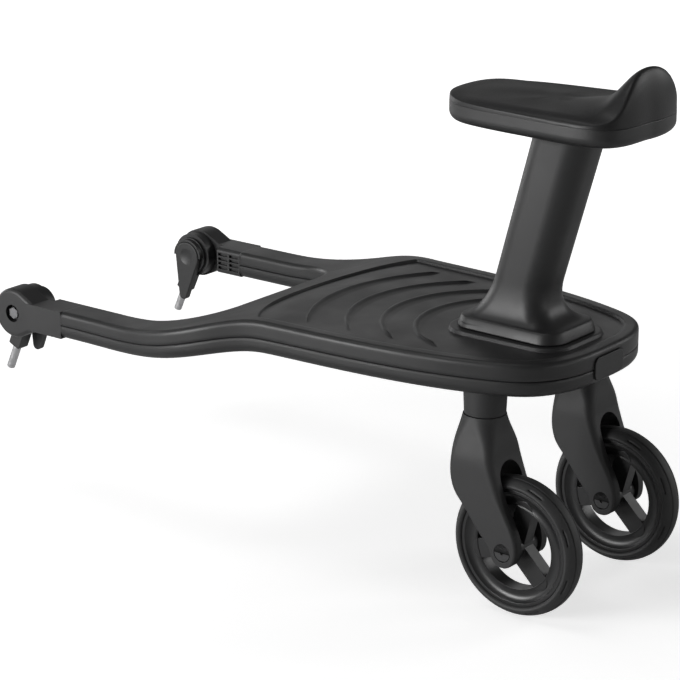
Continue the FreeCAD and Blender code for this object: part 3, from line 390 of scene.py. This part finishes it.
FINISHES: tuple[Finish, ...] = (
    MouldedPlastic("board_plastic", (0.014, 0.014, 0.0144), edge=4.0 * MM),
    MouldedPlastic("seat_plastic", (0.014, 0.014, 0.0144), Coat.SATIN, 2100.0, edge=1.2 * MM),
    MouldedPlastic("fork_plastic", (0.018, 0.018, 0.0185), Coat.MATT, 2200.0),
    MouldedPlastic("rim_plastic", (0.017, 0.017, 0.0175), Coat.SILKY, 2600.0, 0.05 * MM),
    MouldedPlastic("head_plastic", (0.017, 0.017, 0.0175), edge=0.25 * MM, edge_highlight_gain=1.3),
    MouldedPlastic("lever_plastic", (0.015, 0.015, 0.0155), Coat.SATIN, 2600.0, 0.06 * MM),
    MouldedPlastic(
        "bush_plastic", (0.36, 0.36, 0.35), Coat.SILKY, 1800.0, 0.04 * MM,
        mottle=0.05, edge=0.4 * MM, edge_highlight_gain=1.2,
    ),
    GrainedSkin("seat_cover", (0.011, 0.011, 0.0114)),
    TyreRubber("tyre_rubber", (0.024, 0.024, 0.0244)),
    CoatedSteel("steel", (0.5, 0.5, 0.51)),
    CoatedSteel("black_steel", (0.03, 0.03, 0.031), Coat.OILED, 0.0),
    CoatedSteel(DULL_STEEL, (0.2, 0.2, 0.205), Coat.OILED),
)


class Wardrobe:
    """Every finish made once, kept by the record's slot names."""

    def __init__(self) -> None:
        """Makes all the finishes."""
        self.materials = {finish.slot: finish.make() for finish in FINISHES}

    def dress(self, piece: bpy.types.Object, slot: str) -> None:
        """Gives a piece one finish in place of what it had."""
        piece.data.materials.clear()
        piece.data.materials.append(self.materials[slot])


def slot_of(node: str) -> str:
    """The record's material slot of a CAD node."""
    found = {part["node"]: part["material_slot"] for part in frame["record"]["subparts"]}
    return found[node]


def placed(name: str, shape: bmesh.types.BMesh) -> bpy.types.Object:
    """Turns a bmesh into an object at the origin, smooth shaded.

    Args:
        name: the piece's name.
        shape: its form in metres, which is used up.

    Returns:
        The new object.
    """
    mesh = bpy.data.meshes.new(name)
    shape.to_mesh(mesh)
    shape.free()
    for polygon in mesh.polygons:
        polygon.use_smooth = True
    piece = bpy.data.objects.new(name, mesh)
    bpy.context.scene.collection.objects.link(piece)
    return piece


def settled(piece: bpy.types.Object) -> bpy.types.Mesh:
    """A mesh of a piece with its modifiers applied."""
    seen = piece.evaluated_get(bpy.context.evaluated_depsgraph_get())
    return bpy.data.meshes.new_from_object(seen)


@dataclass
class SeatPad:
    """Foam pad of the saddle: rings drawn in from the pan's outline, then swollen by its own pressure."""

    node: str = "seat_pad"
    body: str = "seat"
    spokes: int = 128
    wall_shares: tuple[float, ...] = (0.12, 0.3, 0.5, 0.7, 0.86)
    ring_shares: tuple[float, ...] = (
        0.012, 0.03, 0.055, 0.085, 0.12, 0.16, 0.21, 0.27, 0.34, 0.42, 0.51, 0.61, 0.72, 0.84, 0.95
    )
    probe: float = 0.5 * MM
    crown: float = 10.8 * MM
    fullness: float = 3.8
    slim: float = 0.6 * MM
    nose_drop: float = 2.6 * MM
    tail_lean: float = 5.0 * MM
    nose_start_share: float = 0.3
    tail_spread: float = 0.1
    spread_power: float = 0.7
    pressure: float = 4.0
    frames: int = 20
    reach: float = 5.0 * MM
    seam_rows: int = 3
    held_rows: int = 12
    smoothing: int = 3
    easing: int = 10
    easing_share: float = 0.5
    cloth_quality: int = 6

    def solid(self) -> BVHTree:
        """The CAD pad as a tree of faces that rays can be cast at."""
        shape = bmesh.new()
        shape.from_mesh(frame["nodes"][self.node].data)
        bmesh.ops.remove_doubles(shape, verts=shape.verts, dist=MERGE_GAP)
        tree = BVHTree.FromBMesh(shape)
        shape.free()
        return tree

    def foam(self, spot: Vector, low: Vector, high: Vector) -> Vector:
        """Moves a point of the moulded form to the fuller form of the foam.

        Args:
            spot: the point on the moulded form.
            low: lowest corner of the pad.
            high: highest corner of the pad.

        Returns:
            The point on the foam.
        """
        along = (spot.y - low.y) / (high.y - low.y)
        height = spot.z - low.z
        upper = min(1.0, max(0.0, (height - self.crown) / (high.z - low.z - self.crown)))
        spread = 1 + self.tail_spread * math.sin(math.pi * upper) ** self.spread_power
        nose = min(1.0, max(0.0, (along - self.nose_start_share) / (1 - self.nose_start_share)))
        drop = self.nose_drop * nose * min(1.0, height / self.crown)
        return Vector((spot.x * spread, spot.y + self.tail_lean * upper ** 2, spot.z - drop))

    def top_at(self, solid: BVHTree, spot: Vector, low: Vector, high: Vector) -> float:
        """Height of the moulded form above the seam.

        Args:
            solid: the CAD pad.
            spot: the place, seen from above.
            low: lowest corner of the pad.
            high: highest corner of the pad.

        Returns:
            The height, or zero beside the pad.
        """
        seen = solid.ray_cast(Vector((spot.x, spot.y, high.z + self.reach)), DOWN)[0]
        return seen.z - low.z if seen else 0.0

    def outline(self, solid: BVHTree, ring: list[bmesh.types.BMVert], hub: Vector) -> list[Vector]:
        """Fits a circle of points to the edge of the pad, just above the seam.

        Args:
            solid: the CAD pad.
            ring: the circle's points, which are moved.
            hub: middle of the seam.

        Returns:
            The places on the edge.
        """
        places = []
        for vertex in ring:
            out = Vector((vertex.co.x, vertex.co.y, 0)).normalized()
            seen = solid.ray_cast(hub + Vector((0, 0, self.probe)) + out, -out)[0]
            places.append(Vector((seen.x, seen.y, hub.z)))
            vertex.co = places[-1]
        return places

    def rows(
        self, solid: BVHTree, outline: list[Vector], hub: Vector, low: Vector, high: Vector
    ) -> list[list[Vector]]:
        """Places of all the rings above the seam, up the wall and over the crown.

        Args:
            solid: the CAD pad.
            outline: the ring on the seam.
            hub: middle of the seam.
            low: lowest corner of the pad.
            high: highest corner of the pad.

        Returns:
            One row of places for each ring, on the moulded form.
        """
        edge_share = 2 * self.ring_shares[0]
        tops = [self.top_at(solid, spot.lerp(hub, edge_share), low, high) for spot in outline]
        rows = []
        for share in self.wall_shares:
            rows.append([spot + Vector((0, 0, top * share)) for spot, top in zip(outline, tops)])
        for share in self.ring_shares:
            full = self.crown * (1 - (1 - share) ** self.fullness) ** (1 / self.fullness)
            spots = [spot.lerp(hub, share) for spot in outline]
            heights = [max(full, self.top_at(solid, spot, low, high)) - self.slim for spot in spots]
            rows.append([spot + Vector((0, 0, height)) for spot, height in zip(spots, heights)])
        return rows

    def start(self) -> bpy.types.Object:
        """Draws rings from the seam up the side and over the crown, and closes both ends.

        Returns:
            The pad before it swells.
        """
        low, high = (Vector(corner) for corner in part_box(self.node))
        middle = (low + high) / 2
        hub = Vector((middle.x, middle.y, low.z))
        solid = self.solid()
        shape = bmesh.new()
        crease = shape.edges.layers.float.new("crease_edge")
        ring = bmesh.ops.create_circle(shape, cap_ends=False, segments=self.spokes, radius=1.0)["verts"]
        outline = self.outline(solid, ring, hub)
        seam = list(shape.edges)
        edges = seam
        for row in self.rows(solid, outline, hub, low, high):
            grown = bmesh.ops.extrude_edge_only(shape, edges=edges)["geom"]
            ring = [part for part in grown if isinstance(part, bmesh.types.BMVert)]
            for vertex, spot in zip(ring, row):
                vertex.co = self.foam(spot, low, high)
            edges = [part for part in grown if isinstance(part, bmesh.types.BMEdge)]
            edges = [edge for edge in edges if set(ring).issuperset(edge.verts)]
        bmesh.ops.edgeloop_fill(shape, edges=edges)
        bmesh.ops.edgeloop_fill(shape, edges=seam)
        for edge in seam:
            edge[crease] = 1.0
        bmesh.ops.recalc_face_normals(shape, faces=shape.faces)
        self.ease(shape, self.seam_rows, self.smoothing)
        return placed("saddle_pad", shape)

    def ease(self, shape: bmesh.types.BMesh, rows: int, rounds: int) -> None:
        """Smooths all but the lowest rows of the pad.

        Args:
            shape: the pad.
            rows: how many rows, counted from the seam, stay as they are.
            rounds: how often the rest is smoothed.
        """
        free = list(shape.verts)[rows * self.spokes:]
        for _ in range(rounds):
            bmesh.ops.smooth_vert(
                shape, verts=free, factor=self.easing_share,
                use_axis_x=True, use_axis_y=True, use_axis_z=True,
            )

    def swell(self, piece: bpy.types.Object) -> None:
        """Runs the cloth simulation and keeps its result, capped in how far a point may move.

        Args:
            piece: the slim pad.
        """
        held = piece.vertex_groups.new(name="on_the_pan")
        held.add(list(range(self.held_rows * self.spokes)), 1.0, "REPLACE")
        cloth = piece.modifiers.new("swelling", "CLOTH")
        cloth.settings.vertex_group_mass = held.name
        cloth.settings.use_pressure = True
        cloth.settings.uniform_pressure_force = self.pressure
        cloth.settings.effector_weights.gravity = 0.0
        cloth.settings.quality = self.cloth_quality
        cloth.point_cache.frame_start = 1
        cloth.point_cache.frame_end = self.frames
        scene = bpy.context.scene
        for number in range(1, self.frames + 1):
            scene.frame_set(number)
        swollen = settled(piece)
        longest = 0.0
        for vertex, moved in zip(piece.data.vertices, swollen.vertices):
            step = moved.co - vertex.co
            longest = max(longest, step.length)
            if step.length > self.reach:
                step *= self.reach / step.length
            vertex.co += step
        log.info("pad swelled by up to %.1f mm", longest / MM)
        piece.modifiers.clear()
        piece.vertex_groups.clear()
        shape = bmesh.new()
        shape.from_mesh(piece.data)
        self.ease(shape, self.held_rows, self.easing)
        shape.to_mesh(piece.data)
        shape.free()
        scene.frame_set(1)

    def build(self) -> bpy.types.Object:
        """Makes the finished pad.

        Returns:
            The pad, ready to be dressed.
        """
        piece = self.start()
        self.swell(piece)
        finer = piece.modifiers.new("finer", "SUBSURF")
        finer.levels = 1
        finer.render_levels = 1
        return piece

    def dress(self, wardrobe: Wardrobe) -> None:
        """Builds the pad, gives it its skin and puts it in the place of its solid."""
        piece = self.build()
        slot = slot_of(self.node)
        wardrobe.dress(piece, slot)
        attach(piece, self.body)
        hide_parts(self.node)
        log.info("saddle pad with %d faces", len(piece.data.polygons))


@dataclass
class SeatPost:
    """Leaning column of the saddle: a sloped base band, a hollow flare, a straight shaft and a short head."""

    node: str = "seat_post"
    body: str = "seat"
    base_length: float = 112.0 * MM
    base_round: float = 20.0 * MM
    base_taper: float = 2.6 * MM
    band_height: float = 10.0 * MM
    band_slope: float = 3.4 * MM
    shoulder: float = 1.6 * MM
    foot_edge: float = 0.5 * MM
    flare_height: float = 36.0 * MM
    flare_steps: int = 12
    flare_start_share: float = 0.2
    waist: Size = (49.8 * MM, 57.6 * MM, 20.0 * MM)
    top: Size = (51.8 * MM, 59.6 * MM, 21.0 * MM)
    lean: float = math.radians(15.8)
    axis_offset: float = 6.6 * MM
    upright: float = 11.0 * MM
    head_height: float = 12.0 * MM
    head_growth: float = 8.0 * MM
    head_power: float = 2.6
    head_steps: int = 8
    shaft_shares: Span = (0.35, 0.7)
    wall: float = 3.2 * MM
    corner_steps: int = 9

    def section(
        self, shape: bmesh.types.BMesh, size: Size, middle: Vector, taper: float
    ) -> bmesh.types.BMFace:
        """Draws one level section, a four-sided outline with round corners.

        Args:
            shape: the mesh that gets the section.
            size: width, length and corner radius.
            middle: the section's centre.
            taper: how far each side draws in towards the front.

        Returns:
            The section's face.
        """
        wide, long, corner = size
        rear, front = wide / 2, wide / 2 - taper
        places = ((-rear, -long / 2), (rear, -long / 2), (front, long / 2), (-front, long / 2))
        corners = [shape.verts.new(middle + Vector((*place, 0))) for place in places]
        before = set(shape.faces)
        shape.faces.new(corners)
        bmesh.ops.bevel(
            shape, geom=corners, offset=corner, offset_type="OFFSET", affect="VERTICES",
            segments=self.corner_steps, profile=0.5, material=-1,
        )
        return next(face for face in shape.faces if face not in before)

    def inset(self, base: Span, margin: float) -> Size:
        """Size of the base, drawn in by a margin all round."""
        return base[0] - 2 * margin, base[1] - 2 * margin, self.base_round - margin

    def band_levels(self, base: Span) -> list[Level]:
        """Sections of the sloped band, from the deck to the start of the flare."""
        top, slope, soft, edge = self.band_height, self.band_slope, self.shoulder, self.foot_edge
        places = (
            (0.0, 0.8 * edge),
            (edge, 0.0),
            (2 * edge, 0.2 * edge),
            (top - soft, slope - 0.5 * soft),
            (top - 0.4 * soft, slope - 0.1 * soft),
            (top, slope + 0.4 * soft),
        )
        return [(height, 1.0, self.inset(base, margin)) for height, margin in places]

    def flare_levels(self, base: Span) -> list[Level]:
        """Sections of the hollow flare, a quarter of an ellipse from the band to the waist."""
        foot = self.inset(base, self.band_slope + self.shoulder)
        start = self.band_height + self.flare_start_share * self.shoulder
        rows = []
        for step in range(self.flare_steps + 1):
            turn = math.pi / 2 * step / self.flare_steps
            share = 1 - math.sin(turn)
            size = tuple(thin + (wide - thin) * share for thin, wide in zip(self.waist, foot))
            rows.append((start + self.flare_height * (1 - math.cos(turn)), share, size))
        return rows

    def shaft_levels(self, start: float, height: float) -> list[Level]:
        """Sections of the straight shaft and of the head, which swells under the pan.

        Args:
            start: height of the waist.
            height: the post's whole height.

        Returns:
            One row for each section.
        """
        length = height - start
        head = self.head_height / length
        head_shares = [1 - head * (1 - step / self.head_steps) for step in range(self.head_steps + 1)]
        rows = []
        for share in (*self.shaft_shares, *head_shares):
            swell = max(0.0, 1 - (1 - share) / head) ** self.head_power * self.head_growth
            wide, long, corner = (low + (high - low) * share for low, high in zip(self.waist, self.top))
            rows.append((start + length * share, 0.0, (wide + swell, long + swell, corner + swell / 2)))
        return rows

    def levels(self, base: Span, height: float) -> list[Level]:
        """Heights, shares of the flare and sizes of all the sections, from the base up.

        Args:
            base: width and length of the base.
            height: the post's whole height.

        Returns:
            One row for each section.
        """
        rows = self.band_levels(base) + self.flare_levels(base)
        return rows + self.shaft_levels(rows[-1][0], height)

    def build(self) -> bpy.types.Object:
        """Bridges the sections from the base to the pan and hollows the underside for the foot.

        Returns:
            The post.
        """
        low, high = (Vector(corner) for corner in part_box(self.node))
        middle = Vector(((low.x + high.x) / 2, high.y - self.base_length / 2, low.z))
        shape = bmesh.new()
        faces = []
        for height, share, size in self.levels((high.x - low.x, self.base_length), high.z - low.z):
            shift = self.axis_offset - math.tan(self.lean) * (height - self.upright)
            spot = middle + Vector((0, shift * (1 - share), height))
            faces.append(self.section(shape, size, spot, self.base_taper * share))
        loops = [list(face.edges) for face in faces]
        for lower, upper in zip(loops, loops[1:]):
            bmesh.ops.bridge_loops(shape, edges=lower + upper)
        bmesh.ops.delete(shape, geom=faces[1:-1], context="FACES_ONLY")
        bmesh.ops.recalc_face_normals(shape, faces=shape.faces)
        bmesh.ops.inset_region(shape, faces=[faces[0]], thickness=self.wall, depth=-self.wall)
        return placed("saddle_post", shape)

    def dress(self, wardrobe: Wardrobe) -> None:
        """Builds the post, dresses it and puts it in the place of its solid."""
        piece = self.build()
        slot = slot_of(self.node)
        wardrobe.dress(piece, slot)
        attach(piece, self.body)
        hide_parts(self.node)
        log.info("saddle post with %d faces", len(piece.data.polygons))


@dataclass
class Tyre:
    """Solid tyre of one caster: a round crown with two grooves, a bead step and short shoulder cuts."""

    side: str
    steps: int = 144
    crown_round: float = 14.52 * MM
    half_width: float = 12.25 * MM
    bead_width: float = 9.1 * MM
    depth: float = 10.5 * MM
    groove_place: float = 5.0 * MM
    groove_width: float = 1.4 * MM
    groove_depth: float = 1.0 * MM
    lip: float = 0.12 * MM
    tread_shares: tuple[float, ...] = (0.58, 0.68, 0.78, 0.87, 0.94, 0.985)
    flank_shares: tuple[Span, ...] = ((1.0, 0.66), (0.985, 0.76), (0.93, 0.87), (0.85, 0.955))
    bead_shares: tuple[Span, ...] = ((1.0, 0.97), (0.97, 1.0))
    cut_count: int = 8
    cut_depth: float = 1.3 * MM
    cut_lip: float = 0.25 * MM
    cut_span_shares: Span = (0.76, 0.9)
    cut_half_share: float = 0.16

    @property
    def node(self) -> str:
        """The CAD node that the tyre stands for."""
        return "wheel_tyre_" + self.side

    def crown(self, width: float) -> float:
        """How far the crown lies under the tread's middle at a place across it."""
        return self.crown_round - math.sqrt(self.crown_round ** 2 - width ** 2)

    def half_profile(self) -> list[Span]:
        """Places across the tyre and depths under the tread, from the middle to the bead."""
        near = self.groove_place - self.groove_width / 2
        far = self.groove_place + self.groove_width / 2
        lip, soft = self.lip, 3 * self.lip
        sunk = self.crown(self.groove_place) + self.groove_depth
        inner = (0.0, near / 2, near - soft, near - lip)
        outer = (far + lip, far + soft, *(share * self.half_width for share in self.tread_shares))
        profile = [(place, self.crown(place)) for place in inner]
        profile += [(near + lip, sunk - lip), (near + soft, sunk), (far - soft, sunk), (far - lip, sunk - lip)]
        profile += [(place, self.crown(place)) for place in outer]
        profile += [(self.half_width * across, self.depth * down) for across, down in self.flank_shares]
        profile += [(self.bead_width * across, self.depth * down) for across, down in self.bead_shares]
        return profile

    def build(self) -> bpy.types.Object:
        """Spins the profile round the axle and sinks the shoulder cuts.

        Returns:
            The tyre.
        """
        low, high = (Vector(corner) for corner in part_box(self.node))
        middle = (low + high) / 2
        radius = (high.z - low.z) / 2
        half = self.half_profile()
        profile = [(-across, down) for across, down in reversed(half[1:])] + half
        shape = bmesh.new()
        places = [middle + Vector((across, 0, radius - down)) for across, down in profile]
        points = [shape.verts.new(place) for place in places]
        edges = [shape.edges.new(pair) for pair in zip(points, points[1:] + points[:1])]
        bmesh.ops.spin(
            shape, geom=points + edges, cent=middle, axis=(1, 0, 0),
            angle=2 * math.pi, steps=self.steps, use_merge=True,
        )
        bmesh.ops.remove_doubles(shape, verts=shape.verts, dist=MERGE_GAP)
        bmesh.ops.recalc_face_normals(shape, faces=shape.faces)
        self.cut_shoulders(shape, middle)
        return placed("tyre_" + self.side, shape)

    def cut_shoulders(self, shape: bmesh.types.BMesh, middle: Vector) -> None:
        """Sinks short cuts into both shoulders, turned by half a step from one side to the other.

        Args:
            shape: the spun tyre.
            middle: the wheel's centre.
        """
        pitch = 2 * math.pi / self.cut_count
        inner, outer = (share * self.half_width for share in self.cut_span_shares)
        chosen = []
        for face in shape.faces:
            place = face.calc_center_median() - middle
            outward = face.normal.dot(Vector((0, place.y, place.z)))
            if not inner < abs(place.x) < outer or outward < 0:
                continue
            turn = math.atan2(place.y, place.z) + (pitch / 2 if place.x > 0 else 0)
            if abs((turn / pitch) % 1 - 0.5) < self.cut_half_share:
                chosen.append(face)
        bmesh.ops.inset_region(
            shape, faces=chosen, thickness=self.cut_lip, depth=-self.cut_depth,
            use_even_offset=True, use_boundary=True,
        )

    def dress(self, wardrobe: Wardrobe) -> None:
        """Builds the tyre, dresses it and puts it in the place of its solid."""
        piece = self.build()
        slot = slot_of(self.node)
        wardrobe.dress(piece, slot)
        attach(piece, "wheel_" + self.side)
        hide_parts(self.node)
        log.info("tyre on the %s with %d faces", self.side, len(piece.data.polygons))


@dataclass
class LatchSpring:
    """Spring behind the latch plate, which gets shorter as the button is pressed."""

    node: str = "latch_spring"
    body: str = "board"
    joint: str = "release_press"
    wire: float = 0.8 * MM
    turns: int = 5
    steps_per_turn: int = 24
    wire_sides: int = 10
    travel: float = 4.0 * MM

    def build(self) -> bpy.types.Object:
        """Spins the wire's circle along the coil.

        Returns:
            The spring at its free length.
        """
        low, high = (Vector(corner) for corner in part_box(self.node))
        middle = (low + high) / 2
        coil = (high.x - low.x - self.wire) / 2
        steps = self.turns * self.steps_per_turn
        climb = (high.y - low.y - self.wire) / steps
        shape = bmesh.new()
        bmesh.ops.create_circle(shape, cap_ends=False, segments=self.wire_sides, radius=self.wire / 2)
        start = Vector((middle.x + coil, low.y + self.wire / 2, middle.z))
        bmesh.ops.translate(shape, vec=start, verts=shape.verts)
        bmesh.ops.spin(
            shape, geom=list(shape.verts) + list(shape.edges), cent=middle, axis=(0, 1, 0),
            dvec=(0, climb, 0), angle=2 * math.pi * self.turns, steps=steps,
        )
        bmesh.ops.holes_fill(shape, edges=shape.edges, sides=self.wire_sides)
        bmesh.ops.recalc_face_normals(shape, faces=shape.faces)
        return placed("release_spring", shape)

    def dress(self, wardrobe: Wardrobe) -> None:
        """Builds the spring, dresses it, puts it in the place of its solid and gives it a mesh of its own."""
        piece = self.build()
        slot = slot_of(self.node)
        wardrobe.dress(piece, slot)
        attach(piece, self.body)
        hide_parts(self.node)
        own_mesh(piece)


@dataclass
class KeptNodes:
    """CAD nodes that stay as they are, each in the finish of its slot."""

    replaced: tuple[str, ...]
    dull: tuple[str, ...] = ("clamp_nut_left", "clamp_nut_right", "clamp_bolt_left", "clamp_bolt_right")

    def dress(self, wardrobe: Wardrobe) -> None:
        """Dresses each node that no other piece stands for."""
        for node in sorted(set(frame["nodes"]) - set(self.replaced)):
            finish = DULL_STEEL if node in self.dull else slot_of(node)
            wardrobe.dress(frame["nodes"][node], finish)
            log.info("kept %s in %s", node, finish)


@dataclass(frozen=True)
class Lamp:
    """Soft panel lamp that faces the middle of the object."""

    name: str
    place: Point
    size: Span
    watts: float
    aim: Point = (0.0, -0.05, 0.2)

    def build(self) -> None:
        """Hangs the lamp, unseen by the camera."""
        data = bpy.data.lights.new(self.name, "AREA")
        data.shape = "RECTANGLE"
        data.size, data.size_y = self.size
        data.energy = self.watts
        piece = bpy.data.objects.new(self.name, data)
        piece.location = self.place
        aim = Vector(self.aim) - Vector(self.place)
        piece.rotation_euler = aim.to_track_quat("-Z", "Y").to_euler()
        piece.visible_camera = False
        bpy.context.scene.collection.objects.link(piece)


LAMPS: tuple[Lamp, ...] = (
    Lamp("key", (-2.25, 1.0, 0.65), (1.4, 0.8), 52.0),
    Lamp("back", (2.0, 1.6, 1.0), (1.8, 0.8), 3.0),
    Lamp("front", (0.2, 2.5, 0.6), (1.6, 0.8), 16.0),
    Lamp("rim", (1.9, -1.5, 1.0), (0.8, 1.0), 11.0),
    Lamp("rear", (0.5, -2.5, 0.6), (1.6, 0.8), 6.0),
    Lamp("top", (-0.6, 0.6, 2.6), (1.2, 1.2), 10.0),
)


@dataclass
class Studio:
    """White floor and backdrop, soft lamps and the camera of the photograph."""

    eye: Point = (-1.81885, -1.41558, 0.91665)
    yaw: float = 0.90641
    pitch: float = 0.309127
    focal_px: float = 2600.0
    image_px: float = 680.0
    sensor_mm: float = 36.0
    floor_half: float = 6.0
    floor_tone: Colour = (0.8, 0.8, 0.8)
    surround: float = 0.03
    near_glow: float = 0.62
    shadow_reach: Span = (0.35, 1.5)
    mirrored: float = 0.12

    def camera(self) -> None:
        """Adds the camera at the photograph's viewing angle."""
        data = bpy.data.cameras.new("camera")
        data.sensor_width = self.sensor_mm
        data.lens = self.focal_px / self.image_px * self.sensor_mm
        seen = bpy.data.objects.new("camera", data)
        seen.location = self.eye
        seen.rotation_euler = (math.pi / 2 - self.pitch, 0.0, -self.yaw)
        bpy.context.scene.collection.objects.link(seen)
        bpy.context.scene.camera = seen

    def background_share(self, tree: bpy.types.NodeTree) -> Socket:
        """How much of the white background a ray sees.

        That is all of it from the camera or through glass, a part of it in a reflection, and none
        where it would be light on the object.

        Args:
            tree: the nodes of the floor or the world.

        Returns:
            The share.
        """
        path = tree.nodes.new("ShaderNodeLightPath")
        mirror = tree.nodes.new("ShaderNodeMath")
        mirror.operation = "MULTIPLY"
        mirror.inputs[1].default_value = self.mirrored
        tree.links.new(path.outputs["Is Glossy Ray"], mirror.inputs[0])
        share = mirror.outputs[0]
        for straight in ("Is Camera Ray", "Is Transmission Ray"):
            larger = tree.nodes.new("ShaderNodeMath")
            larger.operation = "MAXIMUM"
            tree.links.new(path.outputs[straight], larger.inputs[0])
            tree.links.new(share, larger.inputs[1])
            share = larger.outputs[0]
        return share

    def glow_level(self, tree: bpy.types.NodeTree) -> Socket:
        """Strength of the floor's glow, which is less near the object, where its shadow lies.

        Args:
            tree: the nodes of the floor.

        Returns:
            The strength.
        """
        away = tree.nodes.new("ShaderNodeVectorMath")
        away.operation = "LENGTH"
        tree.links.new(tree.nodes.new("ShaderNodeTexCoord").outputs["Object"], away.inputs[0])
        paper = tree.nodes.new("ShaderNodeMapRange")
        tree.links.new(away.outputs["Value"], paper.inputs["Value"])
        paper.inputs["From Min"].default_value = self.shadow_reach[0]
        paper.inputs["From Max"].default_value = self.shadow_reach[1]
        paper.inputs["To Min"].default_value = self.near_glow
        level = tree.nodes.new("ShaderNodeMath")
        level.operation = "MULTIPLY"
        tree.links.new(self.background_share(tree), level.inputs[0])
        tree.links.new(paper.outputs["Result"], level.inputs[1])
        return level.outputs[0]

    def floor_paper(self) -> bpy.types.Material:
        """Material of the floor: matt paper that also glows to the camera.

        Returns:
            The node material.
        """
        material = bpy.data.materials.new("floor_paper")
        material.use_nodes = True
        tree = material.node_tree
        tree.nodes.clear()
        matt = tree.nodes.new("ShaderNodeBsdfDiffuse")
        matt.inputs["Color"].default_value = (*self.floor_tone, 1)
        glow = tree.nodes.new("ShaderNodeEmission")
        tree.links.new(self.glow_level(tree), glow.inputs["Strength"])
        both = tree.nodes.new("ShaderNodeAddShader")
        tree.links.new(matt.outputs[0], both.inputs[0])
        tree.links.new(glow.outputs[0], both.inputs[1])
        out = tree.nodes.new("ShaderNodeOutputMaterial")
        tree.links.new(both.outputs[0], out.inputs["Surface"])
        return material

    def floor(self) -> None:
        """Adds the plain pale floor, white to the camera and still shaded by the object."""
        shape = bmesh.new()
        bmesh.ops.create_grid(shape, x_segments=1, y_segments=1, size=self.floor_half)
        piece = placed("floor", shape)
        piece.data.materials.append(self.floor_paper())

    def world(self) -> None:
        """Sets the surroundings: white to the camera, a dimmer even light on the object."""
        surroundings = bpy.data.worlds.new("studio")
        surroundings.use_nodes = True
        tree = surroundings.node_tree
        level = tree.nodes.new("ShaderNodeMapRange")
        level.inputs["To Min"].default_value = self.surround
        level.inputs["To Max"].default_value = 1.0
        tree.links.new(self.background_share(tree), level.inputs["Value"])
        back = tree.nodes["Background"]
        back.inputs["Color"].default_value = (1, 1, 1, 1)
        tree.links.new(level.outputs["Result"], back.inputs["Strength"])
        bpy.context.scene.world = surroundings

    def build(self) -> None:
        """Puts up the whole studio."""
        bpy.context.scene.view_settings.view_transform = "Standard"
        self.world()
        self.floor()
        for lamp in LAMPS:
            lamp.build()
        self.camera()


def main() -> None:
    """Builds the studio, the pieces that replace solids and the dress of all the rest."""
    logging.basicConfig(level=logging.INFO, format="%(name)s: %(message)s")
    wardrobe = Wardrobe()
    Studio().build()
    pad = SeatPad()
    pad.dress(wardrobe)
    post = SeatPost()
    post.dress(wardrobe)
    tyres = [Tyre(side) for side in SIDES]
    for tyre in tyres:
        tyre.dress(wardrobe)
    spring = LatchSpring()
    spring.dress(wardrobe)
    KeptNodes((pad.node, post.node, spring.node, *(tyre.node for tyre in tyres))).dress(wardrobe)


if __name__ == "__main__":
    main()
